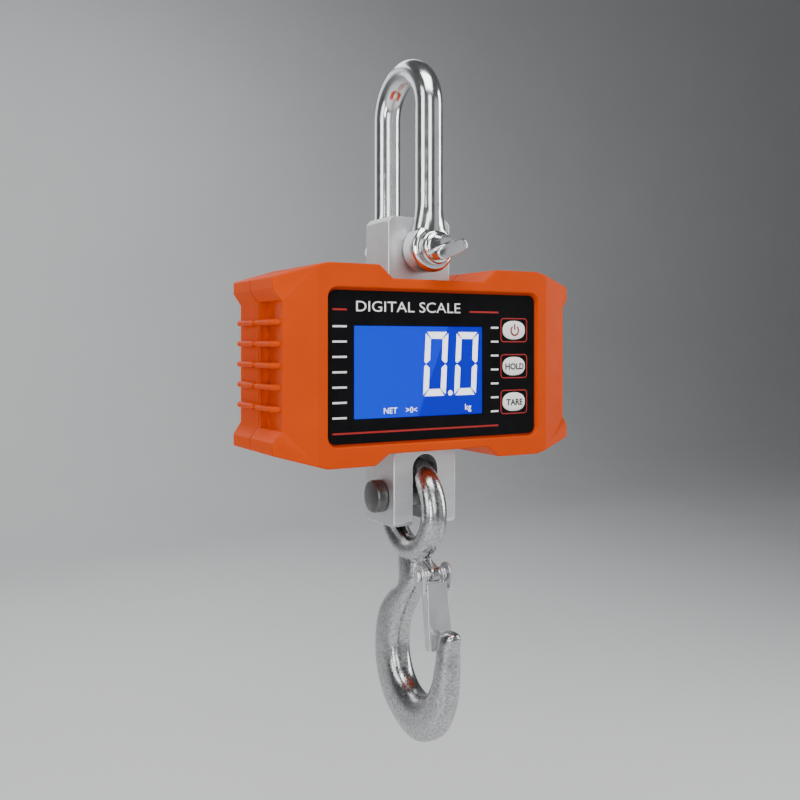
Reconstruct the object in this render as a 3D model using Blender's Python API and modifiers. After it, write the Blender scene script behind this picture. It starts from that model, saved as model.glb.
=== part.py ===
"""Hanging crane scale: shackle, load cell, two-part housing with display, and a safety hook.

Sizes are in millimetres and are turned into metres where a mesh is made. Every place is given
from the middle of the housing: X to the right of the display, Y from the display to the back,
Z up. The origin of the finished model is the point that the scale hangs from, the inside top
of the shackle.
"""

import math

import bmesh
import bpy
from mathutils import Matrix, Vector

MM = 0.001
OBJECT_NAME = "crane_scale"
GAP = 0.3                      # clearance between pieces that touch

# Housing
HALF_WIDTH = 81.0
HALF_HEIGHT = 45.0
HALF_DEPTH = 30.0
SHOULDER_X = 57.6              # where the top and bottom begin to slope towards the ends
END_HALF_HEIGHT = 38.3
FACET_X = 62.4                 # where the front and back turn towards the ends
END_HALF_DEPTH = 24.3
EDGE_RADIUS = 2.0
WALL = 3.0
CAVITY_END_X = 70.6            # the ends are thick, to carry the ribs' pockets
SPLIT_Y = 2.1                  # the plane between the front and rear shells
TOP_NOTCH = (25.0, 31.8, 39.0)       # floor half width, mouth half width, floor height
BOTTOM_NOTCH = (27.0, 33.8, -40.0)
RECESS_X = 76.8                # floor of the recess between an end's two bumpers
RECESS_HALF_HEIGHTS = (27.5, 33.0)
POCKET_X = 73.4                # floor of the deeper pocket in the front shell
POCKET_BEND_Y = -5.8
POCKET_FACET_POINT = (77.1, -25.5)
POCKET_HALF_HEIGHT = 28.2
RIB_PITCH = 9.45
RIB_COUNT = 5
RIB_THICKNESS = 2.6
RIB_TIP_X = 80.2
RIB_NOSE = 2.6                 # how far a rib's end slopes back
FRONT_RIB_Y = (-18.2, -22.4)   # where a front rib begins to slope, and where it ends
REAR_RIB_Y = (21.9, 23.3)

# Screws through the back of the housing: across and up, and the seats of their heads
CASE_SCREWS = ((-57.0, 36.0), (57.0, 36.0), (-57.0, -36.0), (57.0, -36.0))
CASE_HEAD_Y = 25.6
CELL_SCREWS = {"upper": 33.0, "lower": -33.0}
CELL_HEAD_Y = 26.0
POST_RADIUS = 4.2
DOOR_SCREW_X = 31.0

# Display and keys
PANEL_HALF_WIDTH = 56.4
PANEL_Z = (-34.7, 33.2)
PANEL_CORNER = 3.4
PANEL_Y = -28.0                # front of the overlay, sunk into the front face
PANEL_THICKNESS = 0.8
PANEL_LIP = 1.1                # how far the recess is wider than the overlay
BACKING_BACK_Y = -25.0         # back of the wall that carries the overlay
WINDOW_X = (-44.0, 25.4)
WINDOW_Z = (-23.9, 17.5)
KEY_X = 44.0
KEY_Z = {"power": 16.1, "hold": -1.5, "tare": -18.9}
KEY_SIZE = (13.4, 9.0)
KEY_ROUNDNESS = 2.4            # 2 is an ellipse, more is squarer
KEY_PROUD = 0.7
BOARD_Y = (-18.6, -17.0)
BOARD_X = (-50.5, 51.5)
BOARD_Z = (-36.0, 34.5)
BOARD_SCREWS = ((-47.0, -33.0), (-47.0, 31.0), (48.5, -33.0), (48.5, 31.0))

# Load cell
CELL_HALF_WIDTH = 17.2
CELL_TOP_Z = 70.2
CELL_BOTTOM_Z = -76.7
CELL_FRONT_Y = -11.4
CELL_BACK_Y = 11.0
CLEVIS_FRONT_Y = -16.7
CLEVIS_BACK_Y = 11.6
CLEVIS_TOP_Z = -36.8
SLOT_HALF_WIDTH = 6.85
SLOT_TOP_Z = -42.9

# Shackle
BAR_RADIUS = 6.5
LEG_Y = 20.0
BOW_CENTRE_Z = 122.1
SHACKLE_PIN_Z = 54.4
EYE_RADIUS = 11.25
EYE_FACES = (12.9, 25.4)       # inner and outer face of an eye, from the middle
PIN_RADIUS = 6.0
HANG_Z = BOW_CENTRE_Z + LEG_Y - BAR_RADIUS

# Hook
HOOK_PIN_Y = -4.4
HOOK_PIN_Z = -63.2
HOOK_PIN_RADIUS = 5.9
HOOK_HEAD_RADIUS = 7.85
HOOK_HEAD_HEIGHT = 5.3
HOOK_EYE_Z = -70.6
HOOK_EYE_BAR = 6.15
HOOK_EYE_RADIUS = 19.85
LATCH_PIVOT = (-23.4, -98.8)   # y and z of the latch's pin
LATCH_EAR_RADIUS = 5.0
LATCH_LENGTH = 34.1
LATCH_EAR_X = 7.9
LUG_HALF_WIDTH = 2.2

# Sections of the forged hook from its neck to its tip: the point on the side that faces the
# load, the point on the outer side (each y, z), and half of the width across.
HOOK_SECTIONS = (
    ((-14.2, -88.0), (5.6, -88.0), 4.4),
    ((-13.6, -97.0), (3.6, -97.0), 5.6),
    ((-12.6, -106.0), (3.4, -108.5), 6.0),
    ((-5.0, -117.0), (11.8, -114.0), 6.4),
    ((2.0, -127.5), (21.2, -124.0), 6.8),
    ((4.8, -139.0), (25.2, -138.5), 7.2),
    ((2.4, -149.5), (23.8, -155.5), 7.3),
    ((-4.5, -156.4), (13.2, -171.5), 7.3),
    ((-13.8, -158.4), (-8.8, -180.8), 7.3),
    ((-22.8, -154.8), (-27.6, -174.4), 6.9),
    ((-28.4, -146.8), (-38.0, -158.6), 6.3),
    ((-30.6, -137.5), (-41.2, -142.5), 5.6),
    ((-31.8, -129.5), (-41.8, -130.0), 4.9),
    ((-33.2, -124.0), (-43.4, -124.6), 4.1),
    ((-35.8, -121.9), (-42.4, -122.0), 2.4),
)

# Batteries
BATTERY_RADIUS = 7.1
BATTERY_ENDS = (-24.4, 25.9)   # the flat end and the tip of the contact, from the tray's middle
BATTERY_PITCH = 15.2
BATTERY_Y = 20.5
TRAY_HALF_WIDTH = 24.0
TRAY_HALF_HEIGHT = 28.2
TRAY_Y = (12.2, 27.6)
DOOR_HALF_WIDTH = 27.0
DOOR_HALF_HEIGHT = 29.2
DOOR_THICKNESS = 1.8

# Outline planes: the outline's two coordinates and its thickness, as columns of world axes
FACING = {
    "X": Matrix(((0, 0, 1), (1, 0, 0), (0, 1, 0))),     # outline in Y and Z
    "Y": Matrix(((1, 0, 0), (0, 0, -1), (0, 1, 0))),    # outline in X and Z
    "Z": Matrix.Identity(3),                            # outline in X and Y
}
AXES = {"X": Vector((1, 0, 0)), "Y": Vector((0, 1, 0)), "Z": Vector((0, 0, 1))}

FINISHES = {
    "orange_shell": ((0.80, 0.13, 0.02), 0.42, 0.0),
    "polished_steel": ((0.72, 0.73, 0.75), 0.14, 1.0),
    "satin_aluminium": ((0.62, 0.63, 0.64), 0.38, 1.0),
    "zinc_plated": ((0.58, 0.60, 0.62), 0.34, 1.0),
    "black_oxide": ((0.03, 0.03, 0.03), 0.45, 0.6),
    "black_film": ((0.012, 0.012, 0.014), 0.22, 0.0),
    "clear_lens": ((0.75, 0.80, 0.90), 0.08, 0.0),
    "lcd_blue": ((0.03, 0.16, 0.85), 0.20, 0.0),
    "white_plastic": ((0.86, 0.86, 0.84), 0.40, 0.0),
    "black_plastic": ((0.04, 0.04, 0.045), 0.50, 0.0),
    "rubber": ((0.05, 0.05, 0.05), 0.80, 0.0),
    "circuit_board": ((0.02, 0.22, 0.09), 0.45, 0.0),
    "battery_wrap": ((0.10, 0.12, 0.14), 0.35, 0.1),
    "nickel": ((0.70, 0.68, 0.62), 0.25, 1.0),
    "gauge_foil": ((0.75, 0.48, 0.16), 0.40, 0.4),
    "red_wire": ((0.60, 0.03, 0.03), 0.50, 0.0),
    "label_plate": ((0.66, 0.67, 0.68), 0.35, 0.9),
}


# --- Scene and placing -------------------------------------------------------------------------

def clear_scene():
    for existing in list(bpy.data.objects):
        bpy.data.objects.remove(existing, do_unlink=True)


def new_collection(name):
    collection = bpy.data.collections.new(name)
    bpy.context.scene.collection.children.link(collection)
    return collection


def world(point):
    """A place measured from the middle of the housing, in metres from the hanging point."""
    return (Vector(point) - Vector((0, 0, HANG_Z))) * MM


def finish(name):
    material = bpy.data.materials.get(name)
    if material is None:
        colour, roughness, metallic = FINISHES[name]
        material = bpy.data.materials.new(name)
        material.use_nodes = True
        shader = material.node_tree.nodes["Principled BSDF"]
        shader.inputs["Base Color"].default_value = (*colour, 1.0)
        shader.inputs["Roughness"].default_value = roughness
        shader.inputs["Metallic"].default_value = metallic
        material.diffuse_color = (*colour, 1.0)
    return material


def add_object(name, data, centre, material=None):
    """A part when it has a material, or else a cutter."""
    piece = bpy.data.objects.new(name, data)
    piece.location = world(centre)
    if material:
        data.materials.append(finish(material))
        parts.objects.link(piece)
    else:
        cutters.objects.link(piece)
        piece.hide_render = True
        piece.display_type = "WIRE"
    return piece


def mesh_from(bm, name):
    mesh = bpy.data.meshes.new(name)
    bm.to_mesh(mesh)
    bm.free()
    return mesh


def smooth(piece, angle=35.0):
    piece.data.shade_smooth()
    piece.data.set_sharp_from_angle(angle=math.radians(angle))


# --- Basic shapes ------------------------------------------------------------------------------

def box(name, low, high, material=None):
    size = (Vector(high) - Vector(low)) * MM
    bm = bmesh.new()
    bmesh.ops.create_cube(bm, size=1.0, matrix=Matrix.Diagonal((*size, 1.0)))
    centre = (Vector(low) + Vector(high)) / 2
    return add_object(name, mesh_from(bm, name), centre, material)


def rod(name, axis, start, length, radius, material=None, end_radius=None, sides=24):
    """A round bar from the start point along a positive axis; end_radius makes it a cone."""
    direction = AXES[axis]
    bm = bmesh.new()
    bmesh.ops.create_cone(
        bm, cap_ends=True, segments=sides, depth=length * MM, radius1=radius * MM,
        radius2=(radius if end_radius is None else end_radius) * MM,
        matrix=Vector((0, 0, 1)).rotation_difference(direction).to_matrix().to_4x4())
    centre = Vector(start) + direction * length / 2
    piece = add_object(name, mesh_from(bm, name), centre, material)
    smooth(piece)
    return piece


def plate(name, facing, outlines, low, high, material=None):
    """A flat outline with its holes, as thick as from low to high along the facing axis."""
    data = bpy.data.curves.new(name, "CURVE")
    data.dimensions = "2D"
    data.fill_mode = "BOTH"
    data.extrude = (high - low) / 2 * MM
    for outline in outlines:
        spline = data.splines.new("POLY")
        spline.points.add(len(outline) - 1)
        for point, (across, up) in zip(spline.points, outline):
            point.co = (across * MM, up * MM, 0.0, 1.0)
        spline.use_cyclic_u = True
    centre = AXES[facing] * (low + high) / 2
    outline_object = add_object(name + "_outline", data, centre)
    outline_object.rotation_euler = FACING[facing].to_euler()
    return solid_from_curve(outline_object, name, material)


def solid_from_curve(curve, name, material=None):
    """Turns a curve into a mesh that can be cut and joined, and removes the curve."""
    bpy.context.view_layer.update()
    evaluated = curve.evaluated_get(bpy.context.evaluated_depsgraph_get())
    mesh = bpy.data.meshes.new_from_object(evaluated)
    mesh.name = name
    bm = bmesh.new()
    bm.from_mesh(mesh)
    bmesh.ops.remove_doubles(bm, verts=bm.verts, dist=1e-6)
    bmesh.ops.recalc_face_normals(bm, faces=bm.faces)
    bm.to_mesh(mesh)
    bm.free()
    mesh.materials.clear()
    piece = add_object(name, mesh, (0, 0, 0), material)
    piece.matrix_world = curve.matrix_world.copy()
    bpy.data.objects.remove(curve, do_unlink=True)
    return piece


def tube(name, points, radius, material=None, resolution=2):
    """A round wire or bar along a list of points, with closed ends."""
    data = bpy.data.curves.new(name, "CURVE")
    data.dimensions = "3D"
    data.bevel_depth = radius * MM
    data.bevel_resolution = resolution
    data.use_fill_caps = True
    spline = data.splines.new("POLY")
    spline.points.add(len(points) - 1)
    start = Vector(points[0])
    for point, place in zip(spline.points, points):
        point.co = (*((Vector(place) - start) * MM), 1.0)
    return add_object(name, data, start, material)


def turned(name, axis, start, profile, material=None, steps=24):
    """A lathe-turned piece: the profile is (radius, distance along the axis), top to bottom."""
    bm = bmesh.new()
    corners = [bm.verts.new((radius * MM, 0, along * MM)) for radius, along in profile]
    for first, second in zip(corners, corners[1:]):
        bm.edges.new((first, second))
    piece = add_object(name, mesh_from(bm, name), start, material)
    piece.rotation_euler = Vector((0, 0, 1)).rotation_difference(AXES[axis]).to_euler()
    screw = piece.modifiers.new("Turn", "SCREW")
    screw.axis = "Z"
    screw.steps = steps
    screw.render_steps = steps
    screw.use_merge_vertices = True
    screw.merge_threshold = 1e-5
    return piece


def rounded_rectangle(low, high, radius, steps=4):
    """Outline of a rectangle with round corners, counter-clockwise."""
    corners = (
        (high[0] - radius, high[1] - radius, 0), (low[0] + radius, high[1] - radius, 90),
        (low[0] + radius, low[1] + radius, 180), (high[0] - radius, low[1] + radius, 270))
    outline = []
    for across, up, first in corners:
        for step in range(steps + 1):
            angle = math.radians(first + 90 * step / steps)
            outline.append((across + radius * math.cos(angle), up + radius * math.sin(angle)))
    return outline


def circle(across, up, radius, steps=16):
    turn = 2 * math.pi / steps
    return [(across + radius * math.cos(turn * i), up + radius * math.sin(turn * i))
            for i in range(steps)]


def coil(axis_point, radii, length, turns, points_per_turn=8):
    """Points of a coil along +Z from the axis point, whose radius goes from first to last."""
    count = int(turns * points_per_turn)
    points = []
    for i in range(count + 1):
        share = i / count
        radius = radii[0] + (radii[1] - radii[0]) * share
        angle = 2 * math.pi * turns * share
        points.append((axis_point[0] + radius * math.cos(angle),
                       axis_point[1] + radius * math.sin(angle),
                       axis_point[2] + length * share))
    return points


# --- Cutting, joining and rounding -------------------------------------------------------------

def boolean(piece, tool, operation):
    modifier = piece.modifiers.new(operation.title() + " " + tool.name, "BOOLEAN")
    modifier.operation = operation
    modifier.object = tool
    modifier.solver = "EXACT"


def cut(piece, tool):
    boolean(piece, tool, "DIFFERENCE")


def join(piece, tool):
    boolean(piece, tool, "UNION")


def keep_inside(piece, tool):
    boolean(piece, tool, "INTERSECT")


def round_edges(piece, width, segments=2, angle=30.0):
    bevel = piece.modifiers.new("Rounded edges", "BEVEL")
    bevel.width = width * MM
    bevel.segments = segments
    bevel.limit_method = "ANGLE"
    bevel.angle_limit = math.radians(angle)


def pivot(name, centre):
    """An empty on a joint's axis, which carries the pieces that turn about it."""
    empty = bpy.data.objects.new(name, None)
    empty.empty_display_size = 10 * MM
    empty.location = world(centre)
    parts.objects.link(empty)
    return empty


def carry(empty, pieces, parent=None):
    """Parents pieces to an empty, and the empty to the one before it, without moving them."""
    for piece in pieces:
        piece.parent = empty
        piece.matrix_parent_inverse = Matrix.Translation(-empty.location)
    if parent:
        bpy.context.view_layer.update()
        empty.parent = parent
        empty.matrix_parent_inverse = parent.matrix_world.inverted()


# --- Housing -----------------------------------------------------------------------------------

def front_outline(inset, end_x=HALF_WIDTH):
    """The housing seen from the front, with its two notches, drawn in by the inset."""
    half_height = HALF_HEIGHT - inset
    corner = END_HALF_HEIGHT - inset
    if end_x < HALF_WIDTH:
        slope = (HALF_HEIGHT - END_HALF_HEIGHT) / (HALF_WIDTH - SHOULDER_X)
        corner = half_height - slope * (end_x - SHOULDER_X)
    side = 0.6 * inset
    floor, mouth, level = BOTTOM_NOTCH
    lower = [(floor + side, level + inset), (mouth + side, -half_height),
             (SHOULDER_X, -half_height), (end_x, -corner)]
    floor, mouth, level = TOP_NOTCH
    upper = [(end_x, corner), (SHOULDER_X, half_height), (mouth + side, half_height),
             (floor + side, level - inset)]
    right = lower + upper
    return right + [(-across, up) for across, up in reversed(right)]


def plan_outline(inset, end_x=HALF_WIDTH):
    """The housing seen from above, with its facets, drawn in by the inset."""
    slope = (HALF_DEPTH - END_HALF_DEPTH) / (HALF_WIDTH - FACET_X)
    half_depth = HALF_DEPTH - inset
    corner = half_depth - slope * (end_x - FACET_X)
    return [(end_x, -corner), (end_x, corner), (FACET_X, half_depth), (-FACET_X, half_depth),
            (-end_x, corner), (-end_x, -corner), (-FACET_X, -half_depth),
            (FACET_X, -half_depth)]


def mirrored(outline, side):
    return outline if side > 0 else [(-across, up) for across, up in reversed(outline)]


def housing_block(name, low, high, material=None):
    """The outer shape of one shell: the whole housing with round edges, cut at two Y planes."""
    block = plate(name, "Y", [front_outline(0)], -HALF_DEPTH, HALF_DEPTH, material)
    keep_inside(block, plate(name + "_plan", "Z", [plan_outline(0)], -60, 60))
    round_edges(block, EDGE_RADIUS, 1)
    keep_inside(block, box(name + "_share", (-100, low, -60), (100, high, 60)))
    return block


def cut_end_recesses(shell, name, pocket):
    """The recess between the bumpers at each end, and the front shell's deeper pocket."""
    low, high = RECESS_HALF_HEIGHTS
    outer = HALF_WIDTH + 1
    for side, label in ((-1, "left"), (1, "right")):
        recess = mirrored([(RECESS_X, -low), (outer, -high - 1.3), (outer, high + 1.3),
                           (RECESS_X, low)], side)
        cut(shell, plate(f"{name}_{label}_recess", "Y", [recess], -40, 40))
        if pocket:
            facet_x, facet_y = POCKET_FACET_POINT
            plan = mirrored([(POCKET_X, 0), (POCKET_X, POCKET_BEND_Y), (facet_x, facet_y),
                             (outer, facet_y), (outer, 0)], side)
            cut(shell, plate(f"{name}_{label}_pocket", "Z", [plan], -POCKET_HALF_HEIGHT,
                             POCKET_HALF_HEIGHT))


def add_ribs(shell, name, root_y, slope_y, end_y):
    """Five finger ribs across each end, from the split plane to the facet."""
    for side, label in ((-1, "left"), (1, "right")):
        outline = [(CAVITY_END_X + 1, root_y), (RIB_TIP_X, root_y), (RIB_TIP_X, slope_y),
                   (RIB_TIP_X - RIB_NOSE, end_y), (CAVITY_END_X + 1, end_y)]
        if end_y > root_y:
            outline.reverse()
        for number in range(RIB_COUNT):
            middle = (number - (RIB_COUNT - 1) / 2) * RIB_PITCH
            rib = plate(f"{name}_{label}_rib_{number + 1}", "Z", [mirrored(outline, side)],
                        middle - RIB_THICKNESS / 2, middle + RIB_THICKNESS / 2)
            round_edges(rib, 0.8, 1)
            join(shell, rib)


def cut_cell_openings(shell, name):
    """Where the load cell passes through the top and bottom walls, with room for the seals."""
    for label, front, back, low, high in (("top", CELL_FRONT_Y, CELL_BACK_Y, 30, 50),
                                          ("bottom", CLEVIS_FRONT_Y, CLEVIS_BACK_Y, -50, -30)):
        margin = 3.2
        side = CELL_HALF_WIDTH + margin
        cut(shell, box(f"{name}_{label}_opening", (-side, front - margin, low),
                       (side, back + margin, high)))


def make_front_shell():
    shell = housing_block("front_shell", -40, SPLIT_Y - GAP / 2, "orange_shell")
    cavity = plate("front_cavity", "Y", [front_outline(WALL, CAVITY_END_X)], -27.4, 10)
    keep_inside(cavity, plate("front_cavity_plan", "Z", [plan_outline(WALL, CAVITY_END_X)],
                              -60, 60))
    cut(shell, cavity)
    join(shell, box("panel_backing", (-61, -28.6, -39.0), (61, BACKING_BACK_Y, 37.5)))
    low = (-PANEL_HALF_WIDTH, PANEL_Z[0])
    high = (PANEL_HALF_WIDTH, PANEL_Z[1])
    recess = rounded_rectangle((low[0] - PANEL_LIP, low[1] - PANEL_LIP),
                               (high[0] + PANEL_LIP, high[1] + PANEL_LIP),
                               PANEL_CORNER + PANEL_LIP)
    cut(shell, plate("panel_recess", "Y", [recess], -40, PANEL_Y + PANEL_THICKNESS + GAP / 2))
    window = rounded_rectangle((WINDOW_X[0] - 1.5, WINDOW_Z[0] - 1.5),
                               (WINDOW_X[1] + 1.5, WINDOW_Z[1] + 1.5), 1.5, 2)
    cut(shell, plate("window_opening", "Y", [window], -40, -20))
    for name, height in KEY_Z.items():
        half = (KEY_SIZE[0] / 2 + 0.4, KEY_SIZE[1] / 2 + 0.4)
        hole = rounded_rectangle((KEY_X - half[0], height - half[1]),
                                 (KEY_X + half[0], height + half[1]), half[1] - 0.1)
        cut(shell, plate(name + "_key_hole", "Y", [hole], -40, -20))
    cut_end_recesses(shell, "front", pocket=True)
    add_ribs(shell, "front", 0.4, *FRONT_RIB_Y)
    cut_cell_openings(shell, "front")
    for number, (across, up) in enumerate(CASE_SCREWS, 1):
        join(shell, rod(f"front_post_{number}", "Y", (across, -25.6, up),
                        SPLIT_Y - GAP / 2 + 25.6, POST_RADIUS, sides=16))
        cut(shell, rod(f"front_post_hole_{number}", "Y", (across, -13, up), 30, 1.8, sides=12))
    for number, (across, up) in enumerate(BOARD_SCREWS, 1):
        start = BACKING_BACK_Y - 0.6
        join(shell, rod(f"board_post_{number}", "Y", (across, start, up),
                        BOARD_Y[0] - GAP - start, 2.8, sides=12))
        cut(shell, rod(f"board_post_hole_{number}", "Y", (across, -23.6, up), 10, 1.4, sides=8))
    return shell


def make_rear_shell():
    start = SPLIT_Y + GAP / 2
    shell = housing_block("rear_shell", start, 40, "orange_shell")
    cavity = plate("rear_cavity", "Y", [front_outline(WALL, CAVITY_END_X)], -10, 27.4)
    keep_inside(cavity, plate("rear_cavity_plan", "Z", [plan_outline(WALL, CAVITY_END_X)],
                              -60, 60))
    cut(shell, cavity)
    cut_end_recesses(shell, "rear", pocket=False)
    add_ribs(shell, "rear", start, *REAR_RIB_Y)
    cut(shell, plate("gasket_groove", "Y", [front_outline(0.85, 75.35), front_outline(2.35, 73.85)],
                     SPLIT_Y - 1, start + 1.2))
    cut_cell_openings(shell, "rear")
    tray = (TRAY_HALF_WIDTH + GAP, TRAY_HALF_HEIGHT + GAP)
    cut(shell, box("battery_opening", (-tray[0], 20, -tray[1]), (tray[0], 40, tray[1])))
    door = rounded_rectangle((-DOOR_HALF_WIDTH - GAP, -DOOR_HALF_HEIGHT - GAP),
                             (DOOR_HALF_WIDTH + GAP, DOOR_HALF_HEIGHT + GAP), 3.0)
    cut(shell, plate("door_rebate", "Y", [door], HALF_DEPTH - DOOR_THICKNESS - GAP, 40))
    for side, label in ((-1, "left"), (1, "right")):
        across = side * DOOR_SCREW_X
        join(shell, rod(f"door_post_{label}", "Y", (across, 17, 0), 10.9, 3.4, sides=12))
        cut(shell, rod(f"door_post_hole_{label}", "Y", (across, 19.5, 0), 20, 1.6, sides=8))
        cut(shell, box(f"door_ear_rebate_{label}",
                       (across - 5.3, HALF_DEPTH - DOOR_THICKNESS - GAP, -5.3),
                       (across + 5.3, 40, 5.3)))
    for number, (across, up) in enumerate(CASE_SCREWS, 1):
        join(shell, rod(f"rear_post_{number}", "Y", (across, start, up), 26, POST_RADIUS,
                        sides=16))
        cut(shell, rod(f"rear_post_hole_{number}", "Y", (across, 0, up), 30, 1.8, sides=12))
        cut(shell, rod(f"rear_post_head_{number}", "Y", (across, CASE_HEAD_Y - 2.2, up), 12, 3.3,
                       sides=16))
    for label, up in CELL_SCREWS.items():
        join(shell, rod(f"cell_post_{label}", "Y", (0, CELL_BACK_Y + GAP, up), 16.5, 3.2,
                        sides=16))
        cut(shell, rod(f"cell_post_hole_{label}", "Y", (0, 8, up), 30, 2.3, sides=12))
        cut(shell, rod(f"cell_post_head_{label}", "Y", (0, CELL_HEAD_Y, up), 12, 3.0, sides=16))
    cut(shell, box("rating_plate_recess", (-58.3, HALF_DEPTH - 0.8, -20.3), (-37.7, 40, 20.3)))
    return shell


def make_gaskets():
    """Two cord seals in the rear shell's groove, either side of the load cell."""
    for side, label in ((-1, "left"), (1, "right")):
        seal = plate(f"case_gasket_{label}", "Y",
                     [front_outline(1.2, 75.0), front_outline(2.0, 74.2)],
                     SPLIT_Y + GAP / 2, SPLIT_Y + GAP / 2 + 0.9, "rubber")
        ends = sorted((side * (CELL_HALF_WIDTH + 3.5), side * 90))
        keep_inside(seal, box(f"case_gasket_{label}_half", (ends[0], -10, -60),
                              (ends[1], 10, 60)))


def make_cell_seals():
    """Rubber collars that close the shells around the load cell."""
    for label, front, back, low, high in (
            ("upper", CELL_FRONT_Y, CELL_BACK_Y, 36.6, 38.5),
            ("lower", CLEVIS_FRONT_Y, CLEVIS_BACK_Y, -39.4, -37.2)):
        inner = CELL_HALF_WIDTH + GAP
        outer = CELL_HALF_WIDTH + 2.9
        plate(label + "_seal", "Z",
              [[(-outer, front - 2.9), (outer, front - 2.9), (outer, back + 2.9),
                (-outer, back + 2.9)],
               [(-inner, front - GAP), (inner, front - GAP), (inner, back + GAP),
                (-inner, back + GAP)]], low, high, "rubber")


def screw(name, head_seat, length, shank, head, head_height, material="zinc_plated"):
    """A screw that enters from the back, along -Y, with its head on the seat point."""
    profile = [(0, head_height - 1.0), (head * 0.45, head_height - 1.0),
               (head * 0.45, head_height), (head * 0.85, head_height), (head, head_height * 0.6),
               (head, 0), (shank, 0), (shank, -length + 0.8), (shank * 0.4, -length),
               (0, -length)]
    return turned(name, "Y", head_seat, profile, material, steps=12)


def make_screws():
    for number, (across, up) in enumerate(CASE_SCREWS, 1):
        screw(f"case_screw_{number}", (across, CASE_HEAD_Y - 1.9, up), 34, 1.5, 3.0, 2.2)
    for label, up in CELL_SCREWS.items():
        screw(f"load_cell_screw_{label}", (0, CELL_HEAD_Y + GAP, up), 22, 2.0, 2.7, 2.4)
    for number, (across, up) in enumerate(BOARD_SCREWS, 1):
        screw(f"board_screw_{number}", (across, BOARD_Y[1] + GAP, up), 6.2, 1.1, 2.2, 1.4)
    for side, label in ((-1, "left"), (1, "right")):
        screw(f"door_screw_{label}", (side * DOOR_SCREW_X, HALF_DEPTH - 0.9, 0), 9.0, 1.3, 2.3,
              0.9)


# --- Display, board and keys -------------------------------------------------------------------

def key_outline(height, grow, steps=24):
    """The flattened oval of a key, larger all round by grow."""
    half = (KEY_SIZE[0] / 2 + grow, KEY_SIZE[1] / 2 + grow)
    outline = []
    for step in range(steps):
        angle = 2 * math.pi * step / steps
        across, up = (math.copysign(abs(part) ** (2 / KEY_ROUNDNESS), part)
                      for part in (math.cos(angle), math.sin(angle)))
        outline.append((KEY_X + half[0] * across, height + half[1] * up))
    return outline


def make_display():
    film = rounded_rectangle((-PANEL_HALF_WIDTH, PANEL_Z[0]), (PANEL_HALF_WIDTH, PANEL_Z[1]),
                             PANEL_CORNER)
    window = [(WINDOW_X[0], WINDOW_Z[0]), (WINDOW_X[1], WINDOW_Z[0]),
              (WINDOW_X[1], WINDOW_Z[1]), (WINDOW_X[0], WINDOW_Z[1])]
    holes = [key_outline(height, 0.3) for height in KEY_Z.values()]
    back = PANEL_Y + PANEL_THICKNESS
    plate("front_overlay", "Y", [film, window] + holes, PANEL_Y, back, "black_film")
    box("display_lens", (WINDOW_X[0] + GAP, PANEL_Y + 0.1, WINDOW_Z[0] + GAP),
        (WINDOW_X[1] - GAP, back, WINDOW_Z[1] - GAP), "clear_lens")
    glass = (WINDOW_X[0] - 3.5, WINDOW_X[1] + 3.5, WINDOW_Z[0] - 3.5, WINDOW_Z[1] + 3.5)
    lcd = box("lcd_panel", (glass[0], -24.7, glass[2]), (glass[1], -22.7, glass[3]), "lcd_blue")
    join(lcd, box("lcd_face", (WINDOW_X[0] - 1, back + GAP, WINDOW_Z[0] - 1),
                  (WINDOW_X[1] + 1, -23.7, WINDOW_Z[1] + 1)))
    box("backlight_panel", (glass[0] + 1, -22.4, glass[2] + 1), (glass[1] - 1, -19.9,
                                                                glass[3] - 1), "white_plastic")
    rim = 1.6
    outer = [(glass[0] - rim - GAP, glass[2] - rim - GAP), (glass[1] + rim + GAP, glass[2] - rim - GAP),
             (glass[1] + rim + GAP, glass[3] + rim + GAP), (glass[0] - rim - GAP, glass[3] + rim + GAP)]
    inner = [(glass[0] - GAP, glass[2] - GAP), (glass[1] + GAP, glass[2] - GAP),
             (glass[1] + GAP, glass[3] + GAP), (glass[0] - GAP, glass[3] + GAP)]
    plate("lcd_holder", "Y", [outer, inner], -24.7, BOARD_Y[0] - GAP, "black_plastic")


def make_board():
    corners = [(BOARD_X[0], BOARD_Z[0]), (BOARD_X[1], BOARD_Z[0]), (BOARD_X[1], BOARD_Z[1]),
               (BOARD_X[0], BOARD_Z[1])]
    holes = [circle(across, up, 1.5, 8) for across, up in BOARD_SCREWS]
    plate("main_board", "Y", [corners] + holes, BOARD_Y[0], BOARD_Y[1], "circuit_board")
    for name, height in KEY_Z.items():
        switch = box(f"{name}_switch", (KEY_X - 3, -21.6, height - 3),
                     (KEY_X + 3, BOARD_Y[0] - GAP, height + 3), "black_plastic")
        join(switch, rod(f"{name}_switch_plunger", "Y", (KEY_X, -22.6, height), 2, 1.6,
                         sides=12))
    back = BOARD_Y[1] + GAP
    for name, across in (("sensor", -34.0), ("battery", 36.0)):
        box(f"{name}_connector", (across - 5, back, -30), (across + 5, back + 5.4, -24.5),
            "white_plastic")


def make_keys():
    """Three keys: a cap through the overlay, a flange behind it, and a stem to the switch."""
    for name, height in KEY_Z.items():
        key = plate(f"{name}_key", "Y", [key_outline(height, 0)], PANEL_Y - KEY_PROUD,
                    BACKING_BACK_Y + GAP + 0.4, "white_plastic")
        round_edges(key, 0.35, 1, 50)
        flange = plate(f"{name}_key_flange", "Y", [key_outline(height, 1.4)],
                       BACKING_BACK_Y + GAP, BACKING_BACK_Y + GAP + 0.8)
        join(key, flange)
        join(key, rod(f"{name}_key_stem", "Y", (KEY_X, BACKING_BACK_Y + 0.6, height), 0.8, 2.2,
                      sides=12))


# --- Load cell ---------------------------------------------------------------------------------

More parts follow.
